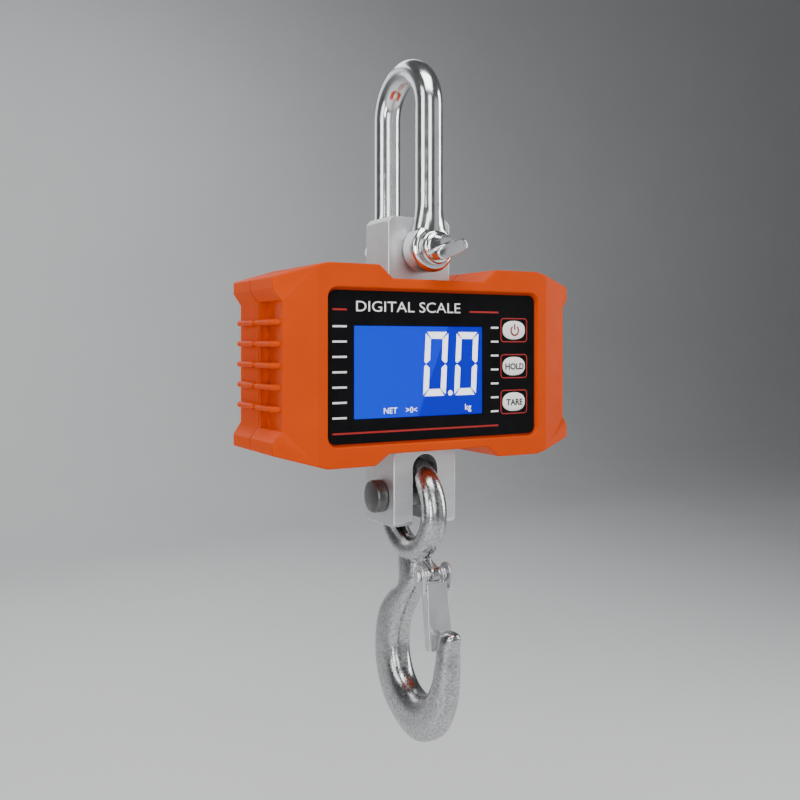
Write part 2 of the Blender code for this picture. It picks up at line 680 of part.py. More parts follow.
def make_load_cell():
    chamfer = 1.8
    side = [(CLEVIS_FRONT_Y, CELL_BOTTOM_Z + chamfer), (CLEVIS_FRONT_Y + chamfer, CELL_BOTTOM_Z),
            (CLEVIS_BACK_Y - chamfer, CELL_BOTTOM_Z), (CLEVIS_BACK_Y, CELL_BOTTOM_Z + chamfer),
            (CLEVIS_BACK_Y, CLEVIS_TOP_Z), (CELL_BACK_Y, CLEVIS_TOP_Z), (CELL_BACK_Y, CELL_TOP_Z),
            (CELL_FRONT_Y, CELL_TOP_Z), (CELL_FRONT_Y, CLEVIS_TOP_Z),
            (CLEVIS_FRONT_Y, CLEVIS_TOP_Z)]
    cell = plate("load_cell", "X", [side], -CELL_HALF_WIDTH, CELL_HALF_WIDTH,
                 "satin_aluminium")
    corner = 2.5
    front = [(-CELL_HALF_WIDTH - 1, -90), (CELL_HALF_WIDTH + 1, -90),
             (CELL_HALF_WIDTH + 1, CELL_TOP_Z - corner - 1),
             (CELL_HALF_WIDTH - corner, CELL_TOP_Z), (CELL_HALF_WIDTH - corner, 80),
             (-CELL_HALF_WIDTH + corner, 80), (-CELL_HALF_WIDTH + corner, CELL_TOP_Z),
             (-CELL_HALF_WIDTH - 1, CELL_TOP_Z - corner - 1)]
    keep_inside(cell, plate("load_cell_front", "Y", [front], -40, 40))
    round_edges(cell, 0.4, 1)
    arch = SLOT_TOP_Z - SLOT_HALF_WIDTH
    slot = [(-SLOT_HALF_WIDTH, -90), (SLOT_HALF_WIDTH, -90)]
    for step in range(13):
        angle = math.pi * step / 12
        slot.append((SLOT_HALF_WIDTH * math.cos(angle), arch + SLOT_HALF_WIDTH * math.sin(angle)))
    cut(cell, plate("clevis_slot", "Y", [slot], -40, 40))
    cut(cell, rod("shackle_pin_bore", "Y", (0, -40, SHACKLE_PIN_Z), 80, PIN_RADIUS + GAP))
    cut(cell, rod("hook_pin_bore", "X", (-40, HOOK_PIN_Y, HOOK_PIN_Z), 80,
                  HOOK_PIN_RADIUS + GAP))
    gauge_hole = 7.5
    for label, up in (("upper", 9.0), ("lower", -9.0)):
        cut(cell, rod(f"gauge_bore_{label}", "Y", (0, -40, up), 80, gauge_hole))
    cut(cell, box("gauge_slot", (-2, -40, -9), (2, 40, 9)))
    for label, up in CELL_SCREWS.items():
        cut(cell, rod(f"cell_tapping_{label}", "Y", (0, 3, up), 20, 2.3, sides=12))
    for side_sign, label in ((-1, "left"), (1, "right")):
        inner = CELL_HALF_WIDTH + GAP
        ends = sorted((side_sign * inner, side_sign * (inner + 0.4)))
        box(f"strain_gauge_{label}", (ends[0], -4.5, 5.5), (ends[1], 4.5, 12.5), "gauge_foil")


# --- Shackle -----------------------------------------------------------------------------------

def make_shackle():
    steps = 12
    legs = [(0, -LEG_Y, SHACKLE_PIN_Z + 8.6), (0, -LEG_Y, 90)]
    bow = []
    for step in range(steps + 1):
        angle = math.pi * step / steps
        bow.append((0, -LEG_Y * math.cos(angle), BOW_CENTRE_Z + LEG_Y * math.sin(angle)))
    path = legs + bow + [(0, y * -1, z) for _, y, z in reversed(legs)]
    shackle = solid_from_curve(tube("shackle_bar", path, BAR_RADIUS, resolution=4),
                               "shackle_bow", "polished_steel")
    for side, label in ((-1, "front"), (1, "rear")):
        low, high = sorted((side * EYE_FACES[0], side * EYE_FACES[1]))
        rim = 1.6
        eye = turned(f"{label}_eye", "Y", (0, low, SHACKLE_PIN_Z),
                     [(0, high - low), (EYE_RADIUS - rim, high - low),
                      (EYE_RADIUS, high - low - rim), (EYE_RADIUS, rim), (EYE_RADIUS - rim, 0),
                      (0, 0)])
        join(shackle, eye)
        flare = rod(f"{label}_flare", "Z", (0, side * (LEG_Y - 0.4), SHACKLE_PIN_Z + 3), 17,
                    9.6, end_radius=6.3)
        flare.scale = (1.0, 0.62, 1.0)
        join(shackle, flare)
    cut(shackle, rod("shackle_eye_bore", "Y", (0, -40, SHACKLE_PIN_Z), 80, PIN_RADIUS + GAP))
    return [shackle, make_shackle_pin()]


def make_shackle_pin():
    """A screw pin with a round shoulder and a flat thumb tab, a little turned."""
    shoulder = EYE_FACES[1] + GAP
    length = 31.2
    pin = turned("shackle_pin", "Y", (0, 0, SHACKLE_PIN_Z),
                 [(0, length), (PIN_RADIUS - 1, length), (PIN_RADIUS, length - 1),
                  (PIN_RADIUS, -shoulder), (7.9, -shoulder), (7.9, -shoulder - 2.6),
                  (7.2, -shoulder - 3.4), (6.1, -shoulder - 3.8), (5.2, -35.2), (0, -35.2)],
                 "polished_steel")
    tab = plate("shackle_pin_tab", "Y", [rounded_rectangle((-8.7, -3.4), (8.7, 3.4), 3.35, 5)],
                -41.2, -31.4)
    tab.location = world((0, -36.3, SHACKLE_PIN_Z - 1.8))
    tab.rotation_euler = (math.radians(90), math.radians(-22), 0)
    round_edges(tab, 0.8, 1, 40)
    join(pin, tab)
    return pin


# --- Hook --------------------------------------------------------------------------------------

def smooth_between(values, share):
    """Catmull-Rom point through four values, between the middle two."""
    before, first, second, after = values
    return 0.5 * (2 * first + (second - before) * share
                  + (2 * before - 5 * first + 4 * second - after) * share ** 2
                  + (3 * first - before - 3 * second + after) * share ** 3)


def hook_stations(between=1):
    """The hook's sections with more of them on the smooth curve between each pair."""
    rows = [Vector((*inner, *outer)).to_tuple() + (half,) for inner, outer, half in
            HOOK_SECTIONS]
    stations = []
    for index in range(len(rows) - 1):
        span = [rows[max(index - 1, 0)], rows[index], rows[index + 1],
                rows[min(index + 2, len(rows) - 1)]]
        for step in range(between + 1):
            share = step / (between + 1)
            stations.append([smooth_between(column, share) for column in zip(*span)])
    stations.append(list(rows[-1]))
    return stations


def make_hook_body():
    """A loft of rounded sections, each spanning from the inner to the outer side."""
    sides = 12
    squareness = 2.6
    bm = bmesh.new()
    rings = []
    for inner_y, inner_z, outer_y, outer_z, half in hook_stations():
        centre = Vector((0, (inner_y + outer_y) / 2, (inner_z + outer_z) / 2))
        reach = Vector((0, (outer_y - inner_y) / 2, (outer_z - inner_z) / 2))
        ring = []
        for side in range(sides):
            angle = 2 * math.pi * side / sides
            along, across = math.cos(angle), math.sin(angle)
            along = math.copysign(abs(along) ** (2 / squareness), along)
            across = math.copysign(abs(across) ** (2 / squareness), across)
            place = centre + reach * along + Vector((half * across, 0, 0))
            ring.append(bm.verts.new(world(place)))
        rings.append(ring)
    for first, second in zip(rings, rings[1:]):
        for side in range(sides):
            after = (side + 1) % sides
            bm.faces.new((first[side], first[after], second[after], second[side]))
    bm.faces.new(rings[0])
    bm.faces.new(reversed(rings[-1]))
    bmesh.ops.recalc_face_normals(bm, faces=bm.faces)
    axis = Vector((0, HOOK_PIN_Y, HOOK_EYE_Z))
    bmesh.ops.translate(bm, verts=bm.verts, vec=-world(axis))
    hook = add_object("hook_body", mesh_from(bm, "hook_body"), axis, "zinc_plated")
    bpy.ops.mesh.primitive_torus_add(
        major_segments=24, minor_segments=10, major_radius=HOOK_EYE_RADIUS * MM,
        minor_radius=HOOK_EYE_BAR * MM, location=world(axis), rotation=(0, math.pi / 2, 0))
    eye = bpy.context.object
    eye.name = "hook_eye"
    for collection in list(eye.users_collection):
        collection.objects.unlink(eye)
    cutters.objects.link(eye)
    eye.hide_render = True
    eye.display_type = "WIRE"
    join(hook, eye)
    y, z = LATCH_PIVOT
    lug = plate("latch_lug", "X", [[(-12, z + 9)] + [(y + 3.6 * math.cos(a), z + 3.6 * math.sin(a))
                for a in (math.radians(100 + 20 * i) for i in range(9))] + [(-11, z - 7)]],
                -LUG_HALF_WIDTH, LUG_HALF_WIDTH)
    join(hook, lug)
    cut(hook, rod("latch_pin_bore", "X", (-20, y, z), 40, 1.8, sides=12))
    return hook


def make_latch():
    """Pressed latch: a channel that rests inside the hook's tip, with two ears on the pin."""
    y, z = LATCH_PIVOT
    lean = math.radians(7.9)
    web_front = -3.1
    thickness = 1.2
    depth = 4.4
    half_top, half_bottom = 5.4, 6.3
    foot = -LATCH_LENGTH
    top = -3.6
    web = plate("latch_plate", "Y",
                [[(-half_bottom, foot), (half_bottom, foot), (half_top, top), (-half_top, top)]],
                web_front, web_front + thickness, "zinc_plated")
    web.location = world((0, y + web_front + thickness / 2, z))
    tools = []
    flank = [(web_front + 0.1, foot), (web_front + depth, foot), (web_front + depth + 1.2, -6.0),
             (web_front + 0.1, -6.0)]
    ear = [(web_front + 0.1, -8.5), (web_front + depth + 1.1, -8.5)]
    for step in range(9):
        angle = math.radians(-25 + 205 * step / 8)
        ear.append((LATCH_EAR_RADIUS * math.cos(angle), LATCH_EAR_RADIUS * math.sin(angle)))
    taper = math.atan((half_bottom - half_top) / (top - foot))
    for side, label in ((-1, "left"), (1, "right")):
        cheek = plate(f"latch_{label}_cheek", "X", [flank], -thickness / 2, thickness / 2)
        cheek.location = world((side * (half_top - 0.75), y, z))
        cheek.rotation_mode = "XYZ"
        cheek.matrix_world = (Matrix.Translation(cheek.location)
                              @ Matrix.Rotation(-side * taper, 4, "Y")
                              @ FACING["X"].to_4x4())
        low, high = sorted((side * (LATCH_EAR_X - thickness), side * LATCH_EAR_X))
        lobe = plate(f"latch_{label}_ear", "X", [ear], low, high)
        lobe.location = world(((low + high) / 2, y, z))
        low, high = sorted((side * (half_top - 1.4), side * (LATCH_EAR_X - 0.4)))
        joggle = box(f"latch_{label}_joggle", (low, y + web_front + 0.1, z - 8.5),
                     (high, y + web_front + depth + 1.0, z - 7.0))
        tools += [cheek, lobe, joggle]
    for tool in tools:
        join(web, tool)
    bore = rod("latch_bore", "X", (-20, y, z), 40, 1.8, sides=12)
    cut(web, bore)
    pin = turned("latch_pin", "X", (0, y, z),
                 [(0, 9.4), (1.9, 9.4), (2.6, 8.9), (2.6, 8.3), (1.5, 8.3), (1.5, -8.3),
                  (2.6, -8.3), (2.6, -8.9), (1.9, -9.4), (0, -9.4)], "zinc_plated", steps=12)
    bpy.context.view_layer.update()
    lean_about = Matrix.Translation(world((0, y, z)))
    tilt = lean_about @ Matrix.Rotation(-lean, 4, "X") @ lean_about.inverted()
    for piece in [web] + tools:
        piece.matrix_world = tilt @ piece.matrix_world
    return [web, pin, make_latch_spring()]


def make_latch_spring():
    """A torsion spring with a coil on each side of the lug, joined by a bow under it."""
    y, z = LATCH_PIVOT
    radius = 2.75
    turns = 2
    steps = 8
    wire = 0.42
    right = []
    for index in range(turns * steps + 1):
        share = index / (turns * steps)
        angle = math.radians(-90) + 2 * math.pi * turns * share
        right.append((2.9 + 2.9 * share, y + radius * math.cos(angle), z + radius * math.sin(angle)))
    lead = [(2.9, y - 1.2, z - 5.4), (2.9, y - 0.4, z - 3.8)]
    tail = [(5.8, y - 0.8, z - 4.2)]
    path = [(0.0, y - 1.2, z - 5.9), (1.6, y - 1.2, z - 5.9)] + lead + right + tail
    left = [(-x, place_y, place_z) for x, place_y, place_z in reversed(path[1:])]
    return tube("latch_spring", left + path, wire, "polished_steel", resolution=2)


def make_hook_pin():
    """The pin that the hook's eye hangs on, and the clip that keeps it in the clevis."""
    head = -CELL_HALF_WIDTH - GAP
    tail = CELL_HALF_WIDTH + 3.4
    groove = CELL_HALF_WIDTH + 0.7
    turned("hook_pin", "X", (0, HOOK_PIN_Y, HOOK_PIN_Z),
           [(0, tail), (HOOK_PIN_RADIUS - 0.8, tail), (HOOK_PIN_RADIUS, tail - 0.8),
            (HOOK_PIN_RADIUS, groove + 1.3), (HOOK_PIN_RADIUS - 1.2, groove + 1.3),
            (HOOK_PIN_RADIUS - 1.2, groove - 0.2), (HOOK_PIN_RADIUS, groove - 0.2),
            (HOOK_PIN_RADIUS, head), (HOOK_HEAD_RADIUS, head),
            (HOOK_HEAD_RADIUS, head - HOOK_HEAD_HEIGHT + 0.6),
            (HOOK_HEAD_RADIUS - 0.6, head - HOOK_HEAD_HEIGHT), (0, head - HOOK_HEAD_HEIGHT)],
           "black_oxide")
    inner = HOOK_PIN_RADIUS - 1.2 + GAP
    outer = HOOK_PIN_RADIUS + 2.0
    outline = []
    for radius, angles in ((outer, range(-60, 241, 30)), (inner, range(240, -61, -30))):
        for degrees in angles:
            angle = math.radians(degrees)
            outline.append((HOOK_PIN_Y + radius * math.cos(angle),
                            HOOK_PIN_Z + radius * math.sin(angle)))
    plate("hook_pin_clip", "X", [outline], groove, groove + 1.0, "black_oxide")


# --- Batteries, door and wires -----------------------------------------------------------------

def make_batteries():
    wall = 1.2
    tray = box("battery_tray", (-TRAY_HALF_WIDTH, TRAY_Y[0], -TRAY_HALF_HEIGHT),
               (TRAY_HALF_WIDTH, TRAY_Y[1], TRAY_HALF_HEIGHT), "black_plastic")
    cut(tray, box("battery_tray_inside",
                  (-TRAY_HALF_WIDTH + wall, TRAY_Y[0] + 0.9, -TRAY_HALF_HEIGHT + wall),
                  (TRAY_HALF_WIDTH - wall, 40, TRAY_HALF_HEIGHT - wall)))
    bottom, top = BATTERY_ENDS
    profile = [(0, top), (2.6, top), (2.6, top - 1.2), (BATTERY_RADIUS - 0.6, top - 1.4),
               (BATTERY_RADIUS, top - 2.0), (BATTERY_RADIUS, bottom + 0.6),
               (BATTERY_RADIUS - 0.6, bottom), (0, bottom)]
    spring_room = TRAY_HALF_HEIGHT - wall - 1.1 + bottom
    for number, across in enumerate((-BATTERY_PITCH, 0, BATTERY_PITCH), 1):
        upright = number % 2 == 1
        cell = turned(f"battery_{number}", "Z", (across, BATTERY_Y, 0), profile,
                      "battery_wrap", steps=16)
        cell.rotation_euler = (0 if upright else math.pi, 0, 0)
        low, radii = (bottom - spring_room, (3.6, 2.2)) if upright else (-bottom + 0.7, (2.2, 3.6))
        tube(f"battery_spring_{number}", coil((across, BATTERY_Y, low), radii,
                                              spring_room - 0.7, 2), 0.35, "nickel")
    upper = TRAY_HALF_HEIGHT - wall - 0.2
    for label, across in (("upper", BATTERY_PITCH / 2), ("lower", -BATTERY_PITCH / 2)):
        level = upper if label == "upper" else -upper + 0.3
        box(f"contact_bridge_{label}", (across - 12.0, BATTERY_Y - 3.4, level - 0.3),
            (across + 12.0, BATTERY_Y + 3.4, level), "nickel")


def make_battery_door():
    face = HALF_DEPTH
    outline = rounded_rectangle((-DOOR_HALF_WIDTH, -DOOR_HALF_HEIGHT),
                                (DOOR_HALF_WIDTH, DOOR_HALF_HEIGHT), 2.7)
    door = plate("battery_door", "Y", [outline], face - DOOR_THICKNESS, face, "orange_shell")
    for side, label in ((-1, "left"), (1, "right")):
        across = side * DOOR_SCREW_X
        join(door, box(f"door_ear_{label}", (across - 5, face - DOOR_THICKNESS, -5),
                       (across + 5, face, 5)))
        cut(door, rod(f"door_screw_hole_{label}", "Y", (across, 20, 0), 20, 1.7, sides=12))
        cut(door, rod(f"door_head_recess_{label}", "Y", (across, face - 1.2, 0), 5, 2.7,
                      sides=12))
    box("rating_plate", (-58, face - 0.5, -20), (-38, face, 20), "label_plate")


def bent(points, between=3):
    """More points on a smooth curve through a wire's route."""
    route = []
    for index in range(len(points) - 1):
        span = [points[max(index - 1, 0)], points[index], points[index + 1],
                points[min(index + 2, len(points) - 1)]]
        for step in range(between):
            route.append([smooth_between(column, step / between) for column in zip(*span)])
    return route + [points[-1]]


def make_wires():
    """The signal cable from the load cell, and the battery's two leads, held inside."""
    plug_y = BOARD_Y[1] + GAP + 5.4 + 1.2
    tube("sensor_cable", bent([(-17.9, 0, -12), (-22, -1, -13), (-28, -3, -18), (-34, -6, -23),
                               (-34, plug_y + 0.2, -27)]), 1.2, "black_plastic")
    for label, lift, material in (("positive", 1.4, "red_wire"), ("negative", -1.4, "rubber")):
        tube(f"battery_lead_{label}",
             bent([(24.6, 15, -20 + lift), (28, 12, -21 + lift), (33, 2, -24 + lift),
                   (36, -6, -26.5 + lift), (36, plug_y, -27.2 + lift)]), 0.7, material)


# --- Assembly ----------------------------------------------------------------------------------

clear_scene()
parts = new_collection(OBJECT_NAME)
cutters = new_collection("cutters")


def main():
    hang = pivot("hanging_point", (0, 0, HANG_Z))
    carry(hang, make_shackle())
    make_load_cell()
    make_hook_pin()
    make_front_shell()
    make_rear_shell()
    make_gaskets()
    make_cell_seals()
    make_screws()
    make_display()
    make_board()
    make_keys()
    make_batteries()
    make_battery_door()
    make_wires()
    hook_axis = pivot("hook_axis", (0, HOOK_PIN_Y, HOOK_EYE_Z))
    carry(hook_axis, [make_hook_body()])
    latch_axis = pivot("latch_axis", (0, *LATCH_PIVOT))
    carry(latch_axis, make_latch(), hook_axis)


main()
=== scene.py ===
# %% [markdown]
# # A hanging crane scale, piece by piece
# A crane scale hangs from a shackle, carries its load on a hook, and shows the weight on a
# display between them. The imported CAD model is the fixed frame: it gives every piece its place
# and size. This notebook gives the pieces their finish, and makes a finer mesh where the real
# piece is rounder or more detailed than the frame's.

import math

import bmesh
import bpy
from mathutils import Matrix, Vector
from mathutils.bvhtree import BVHTree


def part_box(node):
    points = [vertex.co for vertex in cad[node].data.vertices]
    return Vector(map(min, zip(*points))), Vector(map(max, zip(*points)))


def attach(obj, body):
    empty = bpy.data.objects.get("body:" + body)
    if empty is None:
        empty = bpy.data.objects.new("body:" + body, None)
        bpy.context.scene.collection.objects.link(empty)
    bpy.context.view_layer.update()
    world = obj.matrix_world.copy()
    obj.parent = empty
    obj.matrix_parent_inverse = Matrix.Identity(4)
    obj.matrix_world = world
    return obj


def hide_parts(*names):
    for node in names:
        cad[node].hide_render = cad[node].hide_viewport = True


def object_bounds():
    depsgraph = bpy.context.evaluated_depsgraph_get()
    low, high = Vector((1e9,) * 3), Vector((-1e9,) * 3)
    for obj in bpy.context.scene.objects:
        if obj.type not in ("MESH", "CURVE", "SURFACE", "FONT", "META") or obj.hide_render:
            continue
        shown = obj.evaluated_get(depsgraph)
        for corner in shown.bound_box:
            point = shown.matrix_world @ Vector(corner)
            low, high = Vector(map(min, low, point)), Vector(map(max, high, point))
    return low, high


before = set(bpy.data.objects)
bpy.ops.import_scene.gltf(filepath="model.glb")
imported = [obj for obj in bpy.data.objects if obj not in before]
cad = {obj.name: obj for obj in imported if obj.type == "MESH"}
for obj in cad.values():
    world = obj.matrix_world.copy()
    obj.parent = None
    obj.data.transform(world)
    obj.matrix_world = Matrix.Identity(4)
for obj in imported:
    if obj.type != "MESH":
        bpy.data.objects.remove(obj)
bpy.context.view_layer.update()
print("pieces in the frame:", len(cad))

# %% [markdown]
# ## Places
# Everything is given in millimetres from the middle of the housing, because that is how a
# maker would measure it: X to the right of the display, Y from the display to the back, Z up.
# The middle comes from the boxes of the two housing shells.

# %% Millimetres from the middle of the housing
MM = 0.001
shell_low, shell_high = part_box("front_shell")
HOUSING_Z = (shell_low.z + shell_high.z) / 2


def at(x, y, z):
    """A point in millimetres from the middle of the housing, as metres in the frame."""
    return Vector((x * MM, y * MM, z * MM + HOUSING_Z))


def box_mm(node):
    """A node's lowest and highest corner, in millimetres from the middle of the housing."""
    low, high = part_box(node)
    lift = Vector((0, 0, HOUSING_Z))
    return (low - lift) / MM, (high - lift) / MM


print("middle of the housing:", round(HOUSING_Z, 4))

# %% [markdown]
# ## Materials
# A finish is a small network of nodes: noise for the colour's unevenness, noise for the gloss,
# and a bump for the skin of the surface. One helper builds the part that they share, so that
# each finish is a few lines that say only what is special about it. The noise is read in object
# coordinates, in metres, so its scale is the size of the real grain.

# %% Helper for node networks
def node(tree, kind, inputs=None, **settings):
    """A shader node with its settings, and with its inputs set or linked."""
    made = tree.nodes.new(kind)
    for name, value in settings.items():
        setattr(made, name, value)
    for name, value in (inputs or {}).items():
        if isinstance(value, bpy.types.NodeSocket):
            tree.links.new(value, made.inputs[name])
        else:
            made.inputs[name].default_value = value
    return made


def grain(tree, place, size_mm, detail=4.0, rough=0.55, stretch=(1, 1, 1)):
    """Noise with lumps of about size_mm, stretched along an axis if wanted."""
    mapped = node(tree, "ShaderNodeMapping", {"Vector": place, "Scale": stretch})
    noise_node = node(tree, "ShaderNodeTexNoise", {
        "Vector": mapped.outputs["Vector"], "Scale": 1000.0 / size_mm,
        "Detail": detail, "Roughness": rough})
    return noise_node.outputs["Fac"]


def between(tree, share, low, high):
    """A number that goes from low to high as the share goes through its middle range."""
    spread = node(tree, "ShaderNodeMapRange", {
        "Value": share, "From Min": 0.3, "From Max": 0.7, "To Min": low, "To Max": high})
    return spread.outputs["Result"]


def tint(tree, share, dark, light):
    """A colour between dark and light, by a share."""
    ramp = node(tree, "ShaderNodeValToRGB", {"Fac": share})
    ramp.color_ramp.elements[0].position = 0.3
    ramp.color_ramp.elements[0].color = (*dark, 1)
    ramp.color_ramp.elements[1].position = 0.7
    ramp.color_ramp.elements[1].color = (*light, 1)
    return ramp.outputs["Color"]


def finish(name, dark, light, gloss, metal=0.0, colour_mm=12.0, gloss_mm=5.0,
           skin=((0.4, 0.02),), stretch=(1, 1, 1), **sockets):
    """A finish: two colours, a range of roughness, and layers of bump (grain mm, height mm)."""
    material = bpy.data.materials.new(name)
    material.use_nodes = True
    tree = material.node_tree
    shader = tree.nodes["Principled BSDF"]
    place = node(tree, "ShaderNodeTexCoord").outputs["Object"]
    colour = tint(tree, grain(tree, place, colour_mm, stretch=stretch), dark, light)
    tree.links.new(colour, shader.inputs["Base Color"])
    rough = between(tree, grain(tree, place, gloss_mm, stretch=stretch), *gloss)
    tree.links.new(rough, shader.inputs["Roughness"])
    shader.inputs["Metallic"].default_value = metal
    for socket, value in sockets.items():
        shader.inputs[socket.replace("_", " ")].default_value = value
    normal = None
    for grain_mm, height_mm in skin:
        links = {"Height": grain(tree, place, grain_mm, stretch=stretch),
                 "Distance": height_mm * MM, "Strength": 1.0}
        if normal:
            links["Normal"] = normal
        normal = node(tree, "ShaderNodeBump", links).outputs["Normal"]
    if normal:
        tree.links.new(normal, shader.inputs["Normal"])
    return material


print("helpers ready")

# %% [markdown]
# ### Moulded plastic and rubber
# The housing is moulded in tough orange plastic. A mould leaves a fine, even grain, and the
# colour is nearly flat, so its noise is broad and weak. Black rubber is the same idea, rougher.

# %% Plastics and rubber
FINISHES = {
    "orange_shell": finish("moulded_orange", (0.56, 0.052, 0.0008), (0.61, 0.060, 0.0010),
                           (0.42, 0.50), colour_mm=30, skin=((0.5, 0.006), (9.0, 0.03)),
                           Specular_IOR_Level=0.06),
    "white_plastic": finish("key_white", (0.90, 0.90, 0.89), (0.95, 0.95, 0.94), (0.30, 0.40),
                            skin=((0.4, 0.006),)),
    "black_plastic": finish("black_moulding", (0.018, 0.018, 0.020), (0.030, 0.030, 0.032),
                            (0.45, 0.60), skin=((0.4, 0.02),)),
    "rubber": finish("black_rubber", (0.012, 0.012, 0.012), (0.024, 0.024, 0.023),
                     (0.65, 0.85), skin=((0.6, 0.03),)),
    "red_wire": finish("red_insulation", (0.45, 0.015, 0.012), (0.58, 0.025, 0.02),
                       (0.40, 0.55), skin=((0.5, 0.01),)),
    "circuit_board": finish("solder_mask", (0.008, 0.10, 0.035), (0.015, 0.16, 0.06),
                            (0.25, 0.40), colour_mm=2.0, skin=((1.0, 0.02),)),
    "battery_wrap": finish("battery_sleeve", (0.03, 0.04, 0.06), (0.06, 0.07, 0.10),
                           (0.25, 0.35), skin=((2.0, 0.01),)),
}
print("plastics:", len(FINISHES))

# %% [markdown]
# ### Metals
# The shackle is polished and chromed: a mirror with a little waviness left by the forging under
# it. The load cell is milled aluminium with a satin skin. The hook is forged steel with zinc on
# it, so its skin is mottled: several grains of bump, and patches of dull and bright. The latch
# is pressed from flat plate, smoother than the hook.

# %% Metals
FINISHES.update({
    "polished_steel": finish("chromed_forging", (0.68, 0.69, 0.70), (0.78, 0.79, 0.80),
                             (0.14, 0.22), metal=1.0, skin=((22.0, 0.03), (0.9, 0.002))),
    "satin_aluminium": finish("milled_aluminium", (0.70, 0.71, 0.72), (0.77, 0.78, 0.79),
                              (0.42, 0.50), metal=1.0, gloss_mm=1.5, colour_mm=3,
                              skin=((0.35, 0.004),), stretch=(0.15, 1, 1)),
    "zinc_plated": finish("zinc_plate", (0.66, 0.67, 0.68), (0.78, 0.79, 0.80), (0.28, 0.36),
                          metal=1.0, skin=((0.8, 0.005),)),
    "black_oxide": finish("blackened_steel", (0.10, 0.10, 0.101), (0.16, 0.16, 0.161),
                          (0.24, 0.34), metal=0.8, skin=((0.6, 0.004),)),
    "nickel": finish("nickel_plate", (0.55, 0.53, 0.48), (0.70, 0.67, 0.60), (0.18, 0.30),
                     metal=1.0, skin=((0.8, 0.01),)),
    "gauge_foil": finish("gauge_foil", (0.55, 0.30, 0.08), (0.72, 0.44, 0.14), (0.30, 0.45),
                         metal=0.4, skin=((0.4, 0.01),)),
    "label_plate": finish("blank_rating_plate", (0.50, 0.51, 0.52), (0.62, 0.63, 0.64),
                          (0.26, 0.36), metal=0.9, skin=((0.5, 0.008),), stretch=(0.1, 1, 1)),
})
forged_zinc = finish("forged_zinc", (0.26, 0.264, 0.27), (0.60, 0.605, 0.61), (0.16, 0.32),
                     metal=1.0, colour_mm=1.1, gloss_mm=1.2,
                     skin=((7.0, 0.06), (1.1, 0.020), (0.45, 0.007)))
print("metals:", len(FINISHES))

# %% [markdown]
# ### Display
# The overlay is a printed film: black, smooth, with a faint orange-peel. The display lights
# itself blue from behind. The paler blue on the left of a slanted line is a painted reflection,
# glare of a light on the window, and the blue shifts a little across the panel. Light that
# leaves the panel, painted reflection included, is an emission on the same shader.

# %% Film, lens and lit panel
FINISHES["black_film"] = finish("overlay_film", (0.0035, 0.0035, 0.004), (0.006, 0.006, 0.007),
                                (0.16, 0.24), colour_mm=8, skin=((2.5, 0.004),),
                                Specular_IOR_Level=0.09)
FINISHES["clear_lens"] = finish("window_lens", (0.94, 0.96, 1.0), (1.0, 1.0, 1.0),
                                (0.01, 0.03), skin=((14.0, 0.01),),
                                Transmission_Weight=1.0, IOR=1.06)


def backlit_panel_with_painted_glare(name):
    """Blue backlight behind a film, and a paler painted reflection left of a slanted line."""
    material = bpy.data.materials.new(name)
    material.use_nodes = True
    tree = material.node_tree
    shader = tree.nodes["Principled BSDF"]
    place = node(tree, "ShaderNodeTexCoord").outputs["Object"]
    split = node(tree, "ShaderNodeSeparateXYZ", {"Vector": place})
    low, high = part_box("lcd_panel")
    leaning = node(tree, "ShaderNodeMath", {
        0: split.outputs["Z"], 1: -0.40, 2: split.outputs["X"]}, operation="MULTIPLY_ADD")
    line = -0.40 * HOUSING_Z
    painted_glare_mask = node(tree, "ShaderNodeMapRange", {
        # Painted reflection: left of this slanted line the window takes a paler blue, as glare of
        # a light.
        "Value": leaning.outputs[0], "From Min": line - 0.0012, "From Max": line - 0.0004})
    across = node(tree, "ShaderNodeMapRange", {
        "Value": split.outputs["X"], "From Min": low.x, "From Max": high.x})
    soft = node(tree, "ShaderNodeMath", {
        0: grain(tree, place, 30.0, detail=1.0), 1: 0.35, 2: across.outputs["Result"]},
        operation="MULTIPLY_ADD")
    # The left tint is the paler painted reflection; the right tint is the deep blue of the
    # backlight.
    left = tint(tree, soft.outputs[0], (0.000, 0.046, 1.0), (0.006, 0.030, 1.0))
    right = tint(tree, soft.outputs[0], (0.003, 0.004, 0.85), (0.001, 0.001, 0.68))
    lit = node(tree, "ShaderNodeMix", {"Factor": painted_glare_mask.outputs["Result"]}, data_type="RGBA")
    colour_inputs = [socket for socket in lit.inputs if socket.type == "RGBA"]
    tree.links.new(left, colour_inputs[0])
    tree.links.new(right, colour_inputs[1])
    colour = [socket for socket in lit.outputs if socket.type == "RGBA"][0]
    tree.links.new(colour, shader.inputs["Emission Color"])
    shader.inputs["Emission Strength"].default_value = 1.0
    shader.inputs["Base Color"].default_value = (0.002, 0.008, 0.06, 1)
    shader.inputs["Specular IOR Level"].default_value = 0.05
    dots = grain(tree, place, 0.35, detail=0.0)
    tree.links.new(between(tree, dots, 0.25, 0.35), shader.inputs["Roughness"])
    return material


def lit_white(name):
    """The segments of the display: white light with a faint unevenness."""
    material = finish(name, (0.86, 0.90, 0.96), (0.95, 0.97, 1.0), (0.30, 0.40),
                      skin=((0.6, 0.004),))
    shader = material.node_tree.nodes["Principled BSDF"]
    colour = shader.inputs["Base Color"].links[0].from_socket
    material.node_tree.links.new(colour, shader.inputs["Emission Color"])
    shader.inputs["Emission Strength"].default_value = 1.3
    return material


